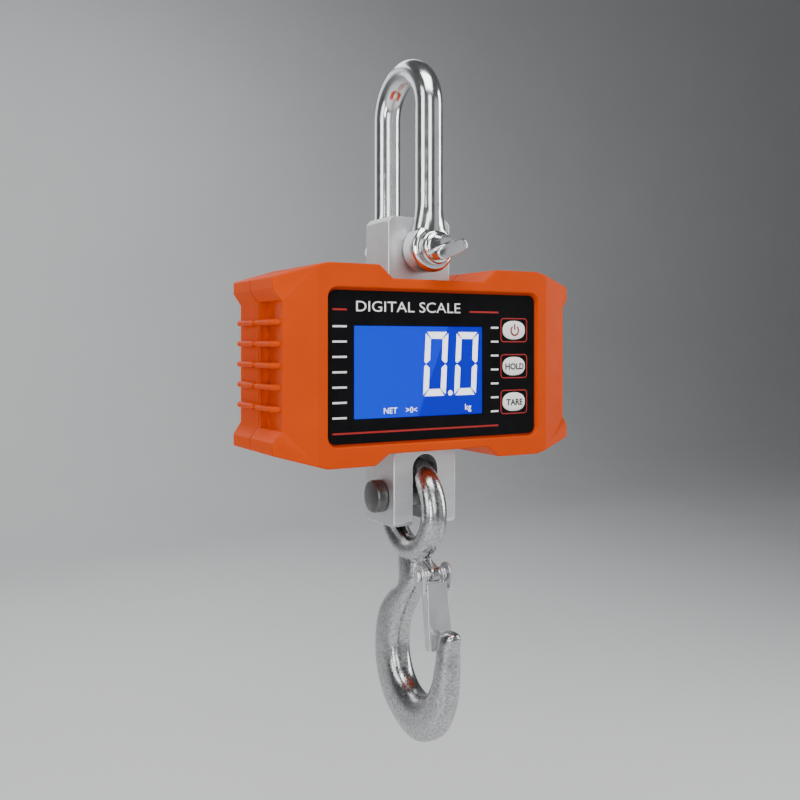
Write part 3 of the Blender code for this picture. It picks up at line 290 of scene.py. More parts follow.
FINISHES["lcd_blue"] = backlit_panel_with_painted_glare("backlight_with_painted_glare")
segment_white = lit_white("segment_white")
white_ink = finish("white_ink", (0.88, 0.89, 0.90), (0.94, 0.94, 0.94), (0.35, 0.50),
                   skin=((0.4, 0.004),))
red_ink = finish("red_ink", (0.32, 0.008, 0.008), (0.40, 0.012, 0.010), (0.35, 0.50),
                 skin=((0.4, 0.004),))
deep_red_ink = finish("deep_red_ink", (0.22, 0.004, 0.006), (0.28, 0.006, 0.008), (0.3, 0.45),
                      skin=((0.4, 0.004),))
black_ink = finish("black_ink", (0.012, 0.012, 0.012), (0.02, 0.02, 0.02), (0.40, 0.55),
                   skin=((0.4, 0.004),))
print("finishes for the frame's slots:", sorted(FINISHES))

# %% [markdown]
# ## The frame's own pieces
# Each node of the frame arrives with the name of its finish. Every node gets the matching
# material, and the ones that need a rounder shape are replaced further down.

# %% Give every node its finish
slot_of = {}
for name, piece in cad.items():
    slot_of[name] = piece.data.materials[0].name
    piece.data.materials.clear()
    piece.data.materials.append(FINISHES[slot_of[name]])
print("nodes with a finish:", len(cad), "slots in use:", sorted(set(slot_of.values())))

# %% [markdown]
# ## Tools for finer pieces
# Three ways cover every finer piece here. A machined or moulded piece keeps the frame's mesh
# and gets its outward edges rounded with a Bevel, and weighted normals keep its flat faces flat.
# A forging is made from a few plain solids that a voxel Remesh melts into one skin, and a Smooth
# relaxes, which gives the soft joins that a die leaves. Turned pieces are a profile spun around
# an axis.

# %% Make, place and ride
def show(name, mesh, material, body, *nodes, slot=None):
    """An object from a mesh in frame metres, riding on a body and standing for some nodes."""
    piece = bpy.data.objects.new(name, mesh)
    bpy.context.scene.collection.objects.link(piece)
    mesh.materials.clear()
    mesh.materials.append(material)
    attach(piece, body)
    if nodes:
        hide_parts(*nodes)
    return piece


def mesh_of(bm, name, smooth=True, turn_outward=True):
    """The bmesh as mesh data, with its faces all looking outward."""
    if turn_outward:
        bmesh.ops.recalc_face_normals(bm, faces=bm.faces)
    for face in bm.faces:
        face.smooth = smooth
    mesh = bpy.data.meshes.new(name)
    bm.to_mesh(mesh)
    bm.free()
    return mesh


def settled(piece):
    """Replaces a piece's mesh by what its modifiers make of it, and drops the modifiers."""
    bpy.context.view_layer.update()
    graph = bpy.context.evaluated_depsgraph_get()
    piece.data = bpy.data.meshes.new_from_object(piece.evaluated_get(graph))
    piece.modifiers.clear()
    return piece


# %% Round the edges of a node's own mesh
SEAM_END_MM = 0.35              # widest rounding that still fits beside the seam's groove
BEVEL_ROOM = 0.42               # the share of the nearest edge that a rounding may take
TOUCH = 0.05 * MM               # nearer than this counts as lying on a plane


def room_for_bevel(edge):
    """The shortest edge that meets this one, in mm: a bevel must stay under half of it."""
    lengths = [other.calc_length() for vertex in edge.verts for other in vertex.link_edges
               if other is not edge]
    return min(lengths) / MM


def tree_of(*node_names):
    """A search tree over the faces of some nodes, to ask what a ray meets."""
    bm = bmesh.new()
    for node_name in node_names:
        bm.from_mesh(cad[node_name].data)
    tree = BVHTree.FromBMesh(bm)
    bm.free()
    return tree


def faces_outside(edge, walls):
    """Whether nothing stands in front of an edge, on the way out from its two faces."""
    outward = (edge.link_faces[0].normal + edge.link_faces[1].normal).normalized()
    middle = (edge.verts[0].co + edge.verts[1].co) / 2
    return walls.ray_cast(middle + outward * TOUCH, outward)[0] is None


def rounded_copy(node_name, name, width_mm, body, seam_y=None, seam_step=0.0, segments=3,
                 angle=12, walls=None, weld_mm=0.12):
    """The frame's own mesh, welded, with its outward edges rounded as far as there is room.

    Edges on the seam stay sharp, and their points move by seam_step. With walls given, only
    the edges that face the open air are rounded.
    """
    source = cad[node_name]
    bm = bmesh.new()
    bm.from_mesh(source.data)
    bmesh.ops.remove_doubles(bm, verts=bm.verts, dist=weld_mm * MM)
    bmesh.ops.dissolve_limit(bm, angle_limit=math.radians(1), verts=bm.verts, edges=bm.edges)
    weight = bm.edges.layers.float.new("bevel_weight_edge")
    rounded = 0
    for edge in bm.edges:
        if len(edge.link_faces) != 2 or not edge.is_convex or edge.calc_length() < 1.0 * MM:
            continue
        if edge.calc_face_angle(0) > math.radians(angle):
            if walls and not faces_outside(edge, walls):
                continue
            share = min(1.0, BEVEL_ROOM * room_for_bevel(edge) / width_mm)
            ends_on_seam = 0 if seam_y is None else sum(
                abs(vertex.co.y - seam_y) < TOUCH for vertex in edge.verts)
            if ends_on_seam == 1:
                share = min(share, SEAM_END_MM / width_mm)
            edge[weight] = 0 if ends_on_seam == 2 else share
            rounded += 1
    for vertex in bm.verts:
        if seam_y is not None and abs(vertex.co.y - seam_y) < TOUCH:
            vertex.co.y += seam_step * MM
    piece = show(name, mesh_of(bm, name), source.data.materials[0], body, node_name)
    piece.data.set_sharp_from_angle(angle=math.radians(58))
    bevel = piece.modifiers.new("Rounded edges", "BEVEL")
    bevel.width = width_mm * MM
    bevel.segments = segments
    bevel.limit_method = "WEIGHT"
    bevel.use_clamp_overlap = False
    even = piece.modifiers.new("Flat faces stay flat", "WEIGHTED_NORMAL")
    even.mode = "FACE_AREA"
    even.weight = 80
    even.keep_sharp = True
    print(name, "edges rounded:", rounded)
    return piece


# %% Skins over rings of points
def skinned(bm, rings):
    """Joins a row of rings of points into a tube, and closes its two ends."""
    for first, second in zip(rings, rings[1:]):
        for step in range(len(first)):
            after = (step + 1) % len(first)
            bm.faces.new((first[step], first[after], second[after], second[step]))
    bm.faces.new(rings[0])
    bm.faces.new(reversed(rings[-1]))


def turned(bm, profile, axis="Y", centre=(0, 0, 0), steps=64):
    """Adds a profile of (distance along the axis, radius) in mm, spun around the axis."""
    rings = []
    for along, radius in profile:
        ring = []
        for step in range(steps):
            angle = 2 * math.pi * step / steps
            side, up = radius * math.cos(angle), radius * math.sin(angle)
            offset = (side, along, up) if axis == "Y" else (along, side, up)
            ring.append(bm.verts.new(at(*(Vector(centre) + Vector(offset)))))
        rings.append(ring)
    skinned(bm, rings)


def swept(bm, path, radius, sides=32):
    """Adds a round bar of one radius along a path that lies in a plane of constant X."""
    rings = []
    for index, place in enumerate(path):
        ahead = Vector(path[min(index + 1, len(path) - 1)])
        behind = Vector(path[max(index - 1, 0)])
        direction = (ahead - behind).normalized()
        across = Vector((1, 0, 0))
        out = direction.cross(across)
        ring = []
        for side in range(sides):
            angle = 2 * math.pi * side / sides
            offset = across * radius * math.cos(angle) + out * radius * math.sin(angle)
            ring.append(bm.verts.new(at(*(Vector(place) + offset))))
        rings.append(ring)
    skinned(bm, rings)


# %% Melt overlapping solids into one
def melted(piece, voxel_mm, passes):
    """Melts a piece's overlapping solids into one skin and relaxes it."""
    remesh = piece.modifiers.new("Melt", "REMESH")
    remesh.mode = "VOXEL"
    remesh.voxel_size = voxel_mm * MM
    remesh.use_smooth_shade = True
    relax = piece.modifiers.new("Relax", "SMOOTH")
    relax.factor = 0.5
    relax.iterations = passes
    settled(piece)
    print(piece.name, "faces:", len(piece.data.polygons))
    return piece


print("tools ready")

# %% [markdown]
# ## Housing
# Two moulded shells meet at a thin seam. Moulded plastic has no sharp edge anywhere: even the
# finger ribs at the ends are soft. The frame's shells have the right faces, so they are copied
# and their outer edges are rounded. The shells are drawn apart a little at the seam, so that it
# shows as a thin dark line, as the lip of a real seam does.

# %% Housing shells and battery door
SEAM_STEP = 0.16                # how far each shell draws back from the seam, in mm
seam_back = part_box("rear_shell")[0].y
housing_walls = tree_of("front_shell", "rear_shell", "battery_door", "load_cell")
rounded_copy("front_shell", "housing_front", 0.9, "scale_body", shell_high.y, -SEAM_STEP,
             walls=housing_walls)
rounded_copy("rear_shell", "housing_rear", 0.9, "scale_body", seam_back, SEAM_STEP,
             walls=housing_walls)
print("gap between the shells, mm:", round((seam_back - shell_high.y) / MM + 2 * SEAM_STEP, 2))
rounded_copy("battery_door", "battery_cover", 0.4, "scale_body")

# %% [markdown]
# ## Load cell
# The load cell is one bar of milled aluminium that runs right through the housing: the shackle's
# yoke above, the hook's clevis below. Milled edges are broken with a small chamfer, which shows
# as a bright line.

# %% Load cell
rounded_copy("load_cell", "load_bar", 0.35, "scale_body", segments=2)

# %% [markdown]
# ## Shackle
# The shackle is a round bar bent into a U, with a flattened eye forged at each end. It could be
# one curve with a changing radius, but the eyes are discs, so the bar, the discs and the flares
# between them are separate solids that are melted together.

# %% Shackle bar and eyes
BAR_RADIUS = 6.5
PIN_Z = 54.4
bow_high = box_mm("shackle_bow")[1]
LEG_Y = bow_high.y - BAR_RADIUS
BOW_Z = bow_high.z - BAR_RADIUS - LEG_Y
EYE = {"radius": 11.25, "inner": 12.9, "outer": 25.4, "rim": 1.7}
FLARE = {"from": 3, "long": 19, "wide": 3.4, "deep": 0.3, "steps": 8}
BORE_RADIUS = 6.3
print("leg distance:", round(LEG_Y, 2), "bow centre:", round(BOW_Z, 2))


def shackle_path():
    path = [(0, -LEG_Y, PIN_Z + 5.0), (0, -LEG_Y, 80), (0, -LEG_Y, 100)]
    for step in range(49):
        angle = math.pi * step / 48
        path.append((0, -LEG_Y * math.cos(angle), BOW_Z + LEG_Y * math.sin(angle)))
    return path + [(0, LEG_Y, 100), (0, LEG_Y, 80), (0, LEG_Y, PIN_Z + 5.0)]


def make_shackle():
    bm = bmesh.new()
    swept(bm, shackle_path(), BAR_RADIUS - 0.02, sides=48)
    rim, radius = EYE["rim"], EYE["radius"]
    for side in (-1, 1):
        inner, outer = side * EYE["inner"], side * EYE["outer"]
        turned(bm, [(inner, radius - rim), (inner + side * rim, radius),
                    (outer - side * rim, radius), (outer, radius - rim)], centre=(0, 0, PIN_Z))
        rings = []
        for level in range(FLARE["steps"] + 1):
            share = level / FLARE["steps"]
            up = PIN_Z + FLARE["from"] + FLARE["long"] * share
            part = (1 - share) ** 1.5
            wide, deep = 6.4 + FLARE["wide"] * part, 6.2 + FLARE["deep"] * part
            ring = []
            for step in range(48):
                angle = 2 * math.pi * step / 48
                ring.append(bm.verts.new(at(wide * math.cos(angle),
                                            side * LEG_Y + deep * math.sin(angle), up)))
            rings.append(ring)
        skinned(bm, rings)
    piece = show("shackle", mesh_of(bm, "shackle"), FINISHES["polished_steel"], "shackle",
                 "shackle_bow")
    melted(piece, 0.5, 6)
    bm = bmesh.new()
    turned(bm, [(-40, BORE_RADIUS), (40, BORE_RADIUS)], centre=(0, 0, PIN_Z), steps=96)
    borer = bpy.data.objects.new("borer", mesh_of(bm, "borer"))
    bpy.context.scene.collection.objects.link(borer)
    bore = piece.modifiers.new("Bore", "BOOLEAN")
    bore.operation = "DIFFERENCE"
    bore.object = borer
    settled(piece)
    bpy.data.objects.remove(borer)


make_shackle()

# %% [markdown]
# ## Shackle pin
# The pin screws into the far eye and is turned by a flat thumb tab. Seen from its end it is a
# set of steps: a round shoulder, a groove, a dome and the tab. The far end carries the thread.
# A turned profile gives the steps, and a Boolean joins the tab to it, so the steps stay crisp.

# %% Shackle pin
pin_low, pin_high = box_mm("shackle_pin")


def make_shackle_pin():
    bm = bmesh.new()
    shoulder = -(EYE["outer"] + 0.3)
    profile = [(shoulder - 9.6, 3.0), (shoulder - 9.2, 4.6), (shoulder - 6.0, 5.3),
               (shoulder - 4.4, 5.9), (shoulder - 3.9, 7.0), (shoulder - 3.2, 7.5),
               (shoulder - 2.4, 7.8), (shoulder - 1.9, 7.4), (shoulder - 1.6, 7.4),
               (shoulder - 1.2, 7.9), (shoulder, 7.9), (shoulder, 6.0), (21.0, 6.0)]
    along = 21.0
    while along < pin_high.y - 1.4:
        profile += [(along + 0.2, 6.0), (along + 0.6, 5.45), (along + 0.9, 5.45),
                    (along + 1.25, 6.0)]
        along += 1.25
    profile += [(pin_high.y - 1.0, 5.7), (pin_high.y - 0.05, 4.9)]
    turned(bm, profile, centre=(0, 0, PIN_Z), steps=72)
    mesh = mesh_of(bm, "shackle_screw_pin")
    tab = bmesh.new()
    tilt = math.radians(-22)
    rings = []
    layers = ((pin_low.y + 0.05, 0.88), (pin_low.y + 0.35, 0.95), (pin_low.y + 1.0, 1.0),
              (-32.4, 1.0), (-31.4, 0.92))
    for along, share in layers:
        ring = []
        for step in range(64):
            angle = 2 * math.pi * step / 64
            wide = 8.65 * share * math.copysign(abs(math.cos(angle)) ** 0.62, math.cos(angle))
            thick = 3.35 * share * math.copysign(abs(math.sin(angle)) ** 0.75, math.sin(angle))
            side = wide * math.cos(tilt) + thick * math.sin(tilt)
            up = -wide * math.sin(tilt) + thick * math.cos(tilt)
            ring.append(tab.verts.new(at(side, along, PIN_Z - 1.8 + up)))
        rings.append(ring)
    skinned(tab, rings)
    tab_piece = bpy.data.objects.new("tab", mesh_of(tab, "tab"))
    bpy.context.scene.collection.objects.link(tab_piece)
    piece = show("shackle_screw_pin", mesh, FINISHES["polished_steel"], "shackle",
                 "shackle_pin")
    join = piece.modifiers.new("Join", "BOOLEAN")
    join.operation = "UNION"
    join.object = tab_piece
    settled(piece)
    bpy.data.objects.remove(tab_piece)
    piece.data.set_sharp_from_angle(angle=math.radians(38))


make_shackle_pin()

# %% [markdown]
# ## Hook
# The hook is one forging: an eye, a thick body that is widest where it bears the load, and a
# tip that thins and turns outward. Its body is a loft of rounded sections, each of which spans
# from the side that faces the load to the outer side. Eye, body and latch lug are melted
# together, and the mottled zinc finish does the rest.

# %% Hook body
HOOK_PIN_Y = -4.4
HOOK_EYE_Z = -70.6
HOOK_EYE = (19.85, 6.15)
LATCH_Y, LATCH_Z = -23.4, -98.8
HOOK_SECTIONS = (
    ((-14.2, -88.0), (5.6, -88.0), 4.4),
    ((-13.6, -97.0), (3.6, -97.0), 5.6),
    ((-12.6, -106.0), (3.4, -108.5), 6.0),
    ((-5.0, -117.0), (11.8, -114.0), 6.4),
    ((2.0, -127.5), (21.2, -124.0), 6.8),
    ((4.8, -139.0), (25.2, -138.5), 7.2),
    ((2.4, -149.5), (23.8, -155.5), 7.3),
    ((-4.5, -156.4), (13.2, -171.5), 7.3),
    ((-13.8, -158.4), (-8.8, -180.8), 7.3),
    ((-22.8, -154.8), (-27.6, -174.4), 6.9),
    ((-28.4, -146.8), (-38.0, -158.6), 6.3),
    ((-30.6, -137.5), (-41.2, -142.5), 5.6),
    ((-31.8, -129.5), (-41.8, -130.0), 4.9),
    ((-33.2, -124.0), (-43.4, -124.6), 4.1),
    ((-35.8, -121.9), (-42.4, -122.0), 2.4),
)


def smooth_between(values, share):
    """A point on the smooth curve through four values, between the middle two."""
    before, first, second, after = values
    return 0.5 * (2 * first + (second - before) * share
                  + (2 * before - 5 * first + 4 * second - after) * share ** 2
                  + (3 * first - before - 3 * second + after) * share ** 3)


def hook_stations(between_rows=5):
    rows = [(*inner, *outer, half) for inner, outer, half in HOOK_SECTIONS]
    stations = []
    for index in range(len(rows) - 1):
        span = [rows[max(index - 1, 0)], rows[index], rows[index + 1],
                rows[min(index + 2, len(rows) - 1)]]
        for step in range(between_rows + 1):
            share = step / (between_rows + 1)
            stations.append([smooth_between(column, share) for column in zip(*span)])
    return stations + [list(rows[-1])]


def loft_hook(bm, sides=40, squareness=2.6):
    rings = []
    for inner_y, inner_z, outer_y, outer_z, half in hook_stations():
        centre = Vector((0, (inner_y + outer_y) / 2, (inner_z + outer_z) / 2))
        reach = Vector((0, (outer_y - inner_y) / 2, (outer_z - inner_z) / 2))
        ring = []
        for side in range(sides):
            angle = 2 * math.pi * side / sides
            along, across = (math.copysign(abs(part) ** (2 / squareness), part)
                             for part in (math.cos(angle), math.sin(angle)))
            place = centre + reach * along + Vector((half * across, 0, 0))
            ring.append(bm.verts.new(at(*place)))
        rings.append(ring)
    skinned(bm, rings)


def add_eye(bm, major_steps=72, minor_steps=28):
    ring_radius, bar = HOOK_EYE
    rings = []
    for turn in range(major_steps):
        angle = 2 * math.pi * turn / major_steps
        ring = []
        for step in range(minor_steps):
            around = 2 * math.pi * step / minor_steps
            reach = ring_radius + bar * math.cos(around)
            ring.append(bm.verts.new(at(bar * math.sin(around),
                                        HOOK_PIN_Y + reach * math.cos(angle),
                                        HOOK_EYE_Z + reach * math.sin(angle))))
        rings.append(ring)
    for turn in range(major_steps):
        first, second = rings[turn], rings[(turn + 1) % major_steps]
        for step in range(minor_steps):
            after = (step + 1) % minor_steps
            bm.faces.new((first[step], first[after], second[after], second[step]))


def make_hook():
    bm = bmesh.new()
    loft_hook(bm)
    add_eye(bm)
    outline = [(-12, LATCH_Z + 9)]
    for step in range(13):
        angle = math.radians(100 + 160 * step / 12)
        outline.append((LATCH_Y + 3.7 * math.cos(angle), LATCH_Z + 3.7 * math.sin(angle)))
    outline.append((-11, LATCH_Z - 7))
    sides = [[bm.verts.new(at(x, y, z)) for y, z in outline] for x in (-2.3, 2.3)]
    bm.faces.new(sides[0])
    bm.faces.new(reversed(sides[1]))
    for index in range(len(outline)):
        after = (index + 1) % len(outline)
        bm.faces.new((sides[0][index], sides[0][after], sides[1][after], sides[1][index]))
    piece = show("hook", mesh_of(bm, "hook"), forged_zinc, "hook", "hook_body")
    melted(piece, 0.55, 7)


make_hook()

# %% [markdown]
# ## Hook pin, latch and spring
# The pin is turned and blackened, with a rounded edge on its flat head. The latch is pressed from
# plate, so its edges are only lightly rounded. The spring is one wire: a coil on each side of
# the lug, and a bow under it that pushes against the hook.

# %% Hook pin
pin_box_low, pin_box_high = box_mm("hook_pin")
HOOK_PIN_Z = -63.2


def make_hook_pin():
    bm = bmesh.new()
    head = pin_box_low.x
    collar = -17.5
    groove = 17.9
    turned(bm, [(head + 0.05, 6.9), (head + 0.25, 7.35),
                (head + 0.7, 7.75), (head + 1.1, 7.82), (collar - 0.35, 7.82),
                (collar, 7.5), (collar, 5.9), (groove - 0.2, 5.9), (groove - 0.2, 4.7),
                (groove + 1.3, 4.7), (groove + 1.3, 5.9), (pin_box_high.x - 0.8, 5.9),
                (pin_box_high.x - 0.05, 5.2)], axis="X",
           centre=(0, HOOK_PIN_Y, HOOK_PIN_Z), steps=72)
    mesh = mesh_of(bm, "hook_pin_turned")
    mesh.set_sharp_from_angle(angle=math.radians(40))
    show("hook_pin_turned", mesh, FINISHES["black_oxide"], "scale_body", "hook_pin")


make_hook_pin()

# %% Latch and its spring
rounded_copy("latch_plate", "latch", 0.2, "latch", segments=2, angle=40,
             weld_mm=0.01)


def make_spring(radius=2.75, turns=2, steps=28, wire=0.42):
    right = []
    for index in range(turns * steps + 1):
        share = index / (turns * steps)
        angle = math.radians(-90) + 2 * math.pi * turns * share
        right.append((2.9 + 2.9 * share, LATCH_Y + radius * math.cos(angle),
                      LATCH_Z + radius * math.sin(angle)))
    lead = [(2.9, LATCH_Y - 1.2, LATCH_Z - 5.4), (2.9, LATCH_Y - 0.4, LATCH_Z - 3.8)]
    tail = [(5.8, LATCH_Y - 0.8, LATCH_Z - 4.2)]
    path = [(0.0, LATCH_Y - 1.2, LATCH_Z - 5.9), (1.6, LATCH_Y - 1.2, LATCH_Z - 5.9)]
    path += lead + right + tail
    path = [(-x, y, z) for x, y, z in reversed(path[1:])] + path
    curve = bpy.data.curves.new("latch_coil", "CURVE")
    curve.dimensions = "3D"
    curve.bevel_depth = wire * MM
    curve.bevel_resolution = 5
    curve.use_fill_caps = True
    line = curve.splines.new("POLY")
    line.points.add(len(path) - 1)
    for point, place in zip(line.points, path):
        point.co = (*at(*place), 1)
    wire_object = bpy.data.objects.new("latch_coil", curve)
    bpy.context.scene.collection.objects.link(wire_object)
    bpy.context.view_layer.update()
    graph = bpy.context.evaluated_depsgraph_get()
    mesh = bpy.data.meshes.new_from_object(wire_object.evaluated_get(graph))
    bpy.data.objects.remove(wire_object)
    for polygon in mesh.polygons:
        polygon.use_smooth = True
    show("latch_coil_spring", mesh, FINISHES["polished_steel"], "latch", "latch_spring")


make_spring()

# %% [markdown]
# ## Keys
# Each key is a white cap, slightly domed so that a fingertip finds it, with a flange behind the
# overlay that keeps it in. The caps are rings of a flattened oval that rise towards the middle.

# %% Key caps
KEY_X = 44.0
KEYS = {"power": 16.1, "hold": -1.5, "tare": -18.9}
CAP_HALF_WIDE, CAP_HALF_HIGH = 6.7, 4.5
DOME_MM = 0.42                  # how much the middle of a cap stands above its rim
OVERLAY_Y = box_mm("front_overlay")[0].y


def oval(half_wide, half_high, steps=56, roundness=2.4):
    """The outline of a flattened oval: 2 is an ellipse, more is squarer."""
    points = []
    for step in range(steps):
        angle = 2 * math.pi * step / steps
        points.append([half * math.copysign(abs(part) ** (2 / roundness), part)
                       for half, part in ((half_wide, math.cos(angle)),
                                          (half_high, math.sin(angle)))])
    return points


def make_key(name, height):
    low, high = box_mm(name + "_key")
    crown = low.y
    wide, tall = CAP_HALF_WIDE, CAP_HALF_HIGH
    bm = bmesh.new()
    rings = []
    layers = [(high.y - 0.05, 2.0, 2.0), (-24.0, 2.0, 2.0), (-24.0, wide + 1.3, tall + 1.3),
              (-24.7, wide + 1.3, tall + 1.3), (-24.7, wide, tall), (crown + 0.75, wide, tall)]
    for share in (1.0, 0.985, 0.95, 0.88, 0.7, 0.45, 0.2):
        rise = DOME_MM * (1 - share ** 2) + 0.3 * (1 - max(0, (share - 0.88) / 0.12) ** 2)
        layers.append((crown + 0.74 - rise, wide * share, tall * share))
    for along, half_wide, half_high in layers:
        rings.append([bm.verts.new(at(KEY_X + x, along, height + z))
                      for x, z in oval(half_wide, half_high)])
    skinned(bm, rings)
    mesh = mesh_of(bm, name + "_cap")
    mesh.set_sharp_from_angle(angle=math.radians(50))
    show(name + "_cap", mesh, FINISHES["white_plastic"], name + "_button", name + "_key")
    return crown


CROWN_Y = {name: make_key(name, height) for name, height in KEYS.items()}
print("key crowns:", {name: round(y, 2) for name, y in CROWN_Y.items()})

# %% [markdown]
# ## Printing
# The overlay is screen printed: a ruler of ticks on each side of the window, thin red lines, a
# heading and a frame around each key. Ink is a real layer, a few hundredths of a millimetre
# thick, so each colour is one thin mesh. The words are generic ones.

# %% Ink helpers
INK = 0.03


def slab(bm, outline, y, thickness=INK):
    """Adds a thin prism with this outline in X and Z, its front face at y."""
    front = [bm.verts.new(at(x, y, z)) for x, z in outline]
    back = [bm.verts.new(at(x, y + thickness, z)) for x, z in outline]
    bm.faces.new(front)
    bm.faces.new(reversed(back))
    for index in range(len(outline)):
        after = (index + 1) % len(outline)
        bm.faces.new((front[index], back[index], back[after], front[after]))


def bar(bm, x0, z0, x1, z1, y):
    slab(bm, [(x0, z0), (x1, z0), (x1, z1), (x0, z1)], y)


def rounded_loop(half_wide, half_high, corner, steps=6):
    points = []
    for quarter, (sx, sz) in enumerate(((1, 1), (-1, 1), (-1, -1), (1, -1))):
        for step in range(steps + 1):
            angle = math.radians(90 * quarter + 90 * step / steps)
            points.append((sx * (half_wide - corner) + corner * math.cos(angle),
                           sz * (half_high - corner) + corner * math.sin(angle)))
    return points


def ring_slab(bm, outer, inner, y, thickness=INK):
    """Adds a thin flat frame between two loops with the same number of points."""
    loops = [[bm.verts.new(at(x, depth, z)) for x, z in loop]
             for loop, depth in ((outer, y), (inner, y), (inner, y + thickness),
                                 (outer, y + thickness))]
    for first, second in zip(loops, loops[1:] + loops[:1]):
        for index in range(len(outer)):
            after = (index + 1) % len(outer)
            bm.faces.new((first[index], first[after], second[after], second[index]))


def words(text, cap_height, x, z, y, anchor="LEFT", width=None, boldness=0.0):
    """A mesh of a word, standing on height z, facing the front at depth y."""
    curve = bpy.data.curves.new(text, "FONT")
    curve.body = text
    curve.size = cap_height / 0.729
    curve.align_x = anchor
    curve.extrude = INK / 2
    curve.offset = boldness
    curve.resolution_u = 4
    written = bpy.data.objects.new(text, curve)
    bpy.context.scene.collection.objects.link(written)
    bpy.context.view_layer.update()
    graph = bpy.context.evaluated_depsgraph_get()
    mesh = bpy.data.meshes.new_from_object(written.evaluated_get(graph))
    bpy.data.objects.remove(written)
    stretch = width / max(v.co.x for v in mesh.vertices) if width else 1
    for vertex in mesh.vertices:
        across, up, out = vertex.co
        vertex.co = at(x + across * stretch, y + INK / 2 - out, z + up)
    return mesh


def print_piece(name, bm, material, body, slot, turn_outward=True):
    mesh = mesh_of(bm, name, smooth=False, turn_outward=turn_outward)
    return show(name, mesh, material, body, slot=slot)


print("ink thickness, mm:", INK)

# %% Ink on the overlay
PRINT_Y = OVERLAY_Y - INK
LEFT_TICK, RIGHT_TICK = (-54.6, -47.6), (30.2, 34.6)
TICKS, TOP_TICK, TICK_STEP, HALF_TICK = 7, 17.2, 6.72, 0.42
white = bmesh.new()
for number in range(TICKS):
    z = TOP_TICK - TICK_STEP * number
    for left, right in (LEFT_TICK, RIGHT_TICK):
        bar(white, left, z - HALF_TICK, right, z + HALF_TICK, PRINT_Y)
white.from_mesh(words("DIGITAL SCALE", 4.9, -43.6, 23.9, PRINT_Y, width=56.0))
print_piece("overlay_white_print", white, white_ink, "scale_body", "white_plastic")

red = bmesh.new()
for left, right, z in ((*LEFT_TICK, 24.2), (17.7, RIGHT_TICK[1], 24.2),
                       (LEFT_TICK[0], RIGHT_TICK[1], -30.4)):
    bar(red, left, z, right, z + 0.8, PRINT_Y)
print_piece("overlay_red_print", red, red_ink, "scale_body", "red_wire")

frames = bmesh.new()
for height in KEYS.values():
    outer, inner = rounded_loop(8.1, 5.9, 1.9), rounded_loop(7.6, 5.4, 1.4)
    ring_slab(frames, [(KEY_X + x, height + z) for x, z in outer],
              [(KEY_X + x, height + z) for x, z in inner], PRINT_Y)
print_piece("key_frames_print", frames, red_ink, "scale_body", "red_wire")

# %% [markdown]
# ## Symbols on the keys
# The power key carries the usual broken ring with a bar, and the other two carry their word.
# These rest on the crowns of the caps and move with them.

# %% Key symbols
SYMBOL_LIFT = 0.06              # how far a symbol stands in front of its cap, in mm


def on_crown(bm, height):
    """Presses a flat print onto the domed crown of its key."""
    for vertex in bm.verts:
        across = (vertex.co.x / MM - KEY_X) / CAP_HALF_WIDE
        up = ((vertex.co.z - HOUSING_Z) / MM - height) / CAP_HALF_HIGH
        vertex.co.y += DOME_MM * MM * min(1, across * across + up * up)


def make_power_symbol():
    height = KEYS["power"]
    y = CROWN_Y["power"] - SYMBOL_LIFT
    bm = bmesh.new()
    outer, inner = [], []
    for step in range(33):
        angle = math.radians(125 + 290 * step / 32)
        for loop, radius in ((outer, 2.7), (inner, 1.85)):
            loop.append((KEY_X + radius * math.cos(angle),
                         height - 0.2 + radius * math.sin(angle)))
    slab(bm, outer + inner[::-1], y, 0.1)
    bar(bm, KEY_X - 0.45, height + 0.1, KEY_X + 0.45, height + 3.0, y)
    on_crown(bm, height)
    print_piece("power_symbol", bm, deep_red_ink, "power_button", "red_wire")


make_power_symbol()
for name, word in (("hold", "HOLD"), ("tare", "TARE")):
    bm = bmesh.new()
    bm.from_mesh(words(word, 3.0, KEY_X, KEYS[name] - 1.5, CROWN_Y[name] - SYMBOL_LIFT,
                       anchor="CENTER", boldness=0.13))
    on_crown(bm, KEYS[name])
    print_piece(name + "_word", bm, black_ink, name + "_button", "black_plastic",
                turn_outward=False)

# %% [markdown]
# ## Display
# The digits are seven-segment ones, leaning a little. Each segment is a mitred bar, and its
# outline is written once for a digit cell and then leaned and placed. A zero lights all the
# segments but the middle one.

# %% Digits and small words
SEGMENT_Y = box_mm("lcd_panel")[0].y - 0.05
CELL_WIDE, CELL_TALL, BAR = 12.4, 29.8, 3.2
LEAN = 1.5


def digit_zero(bm, x, z):
    half = CELL_TALL / 2
    top = [(0.75, 0), (CELL_WIDE - 0.75, 0), (CELL_WIDE - BAR, BAR), (BAR, BAR)]
    side = [(0, 0.65), (BAR - 0.3, BAR + 0.2), (BAR - 0.3, half - 1.9), (1.0, half - 0.3),
            (0, half - 1.0)]
    for flip_z in (False, True):
        for flip_x, outline in ((False, top), (False, side), (True, side)):
            placed = []
            for across, down in outline:
                across = CELL_WIDE - across if flip_x else across
                up = down if flip_z else CELL_TALL - down
                placed.append((x + across + LEAN * up / CELL_TALL, z + up))
            slab(bm, placed, SEGMENT_Y)


digits = bmesh.new()
for left in (-7.6, 9.6):
    digit_zero(digits, left, -14.8)
POINT_X, POINT_Z, POINT_RADIUS = 7.4, -13.6, 1.25
slab(digits, [(POINT_X + POINT_RADIUS * math.cos(math.radians(30 * step)),
               POINT_Z + POINT_RADIUS * math.sin(math.radians(30 * step)))
              for step in range(12)], SEGMENT_Y)
for word, tall, x, z in (("NET", 2.8, -28.6, -22.1), (">0<", 2.8, -17.0, -22.1),
                         ("kg", 3.0, 15.6, -21.9)):
    digits.from_mesh(words(word, tall, x, z, SEGMENT_Y))
print_piece("display_segments", digits, segment_white, "scale_body", "white_plastic")

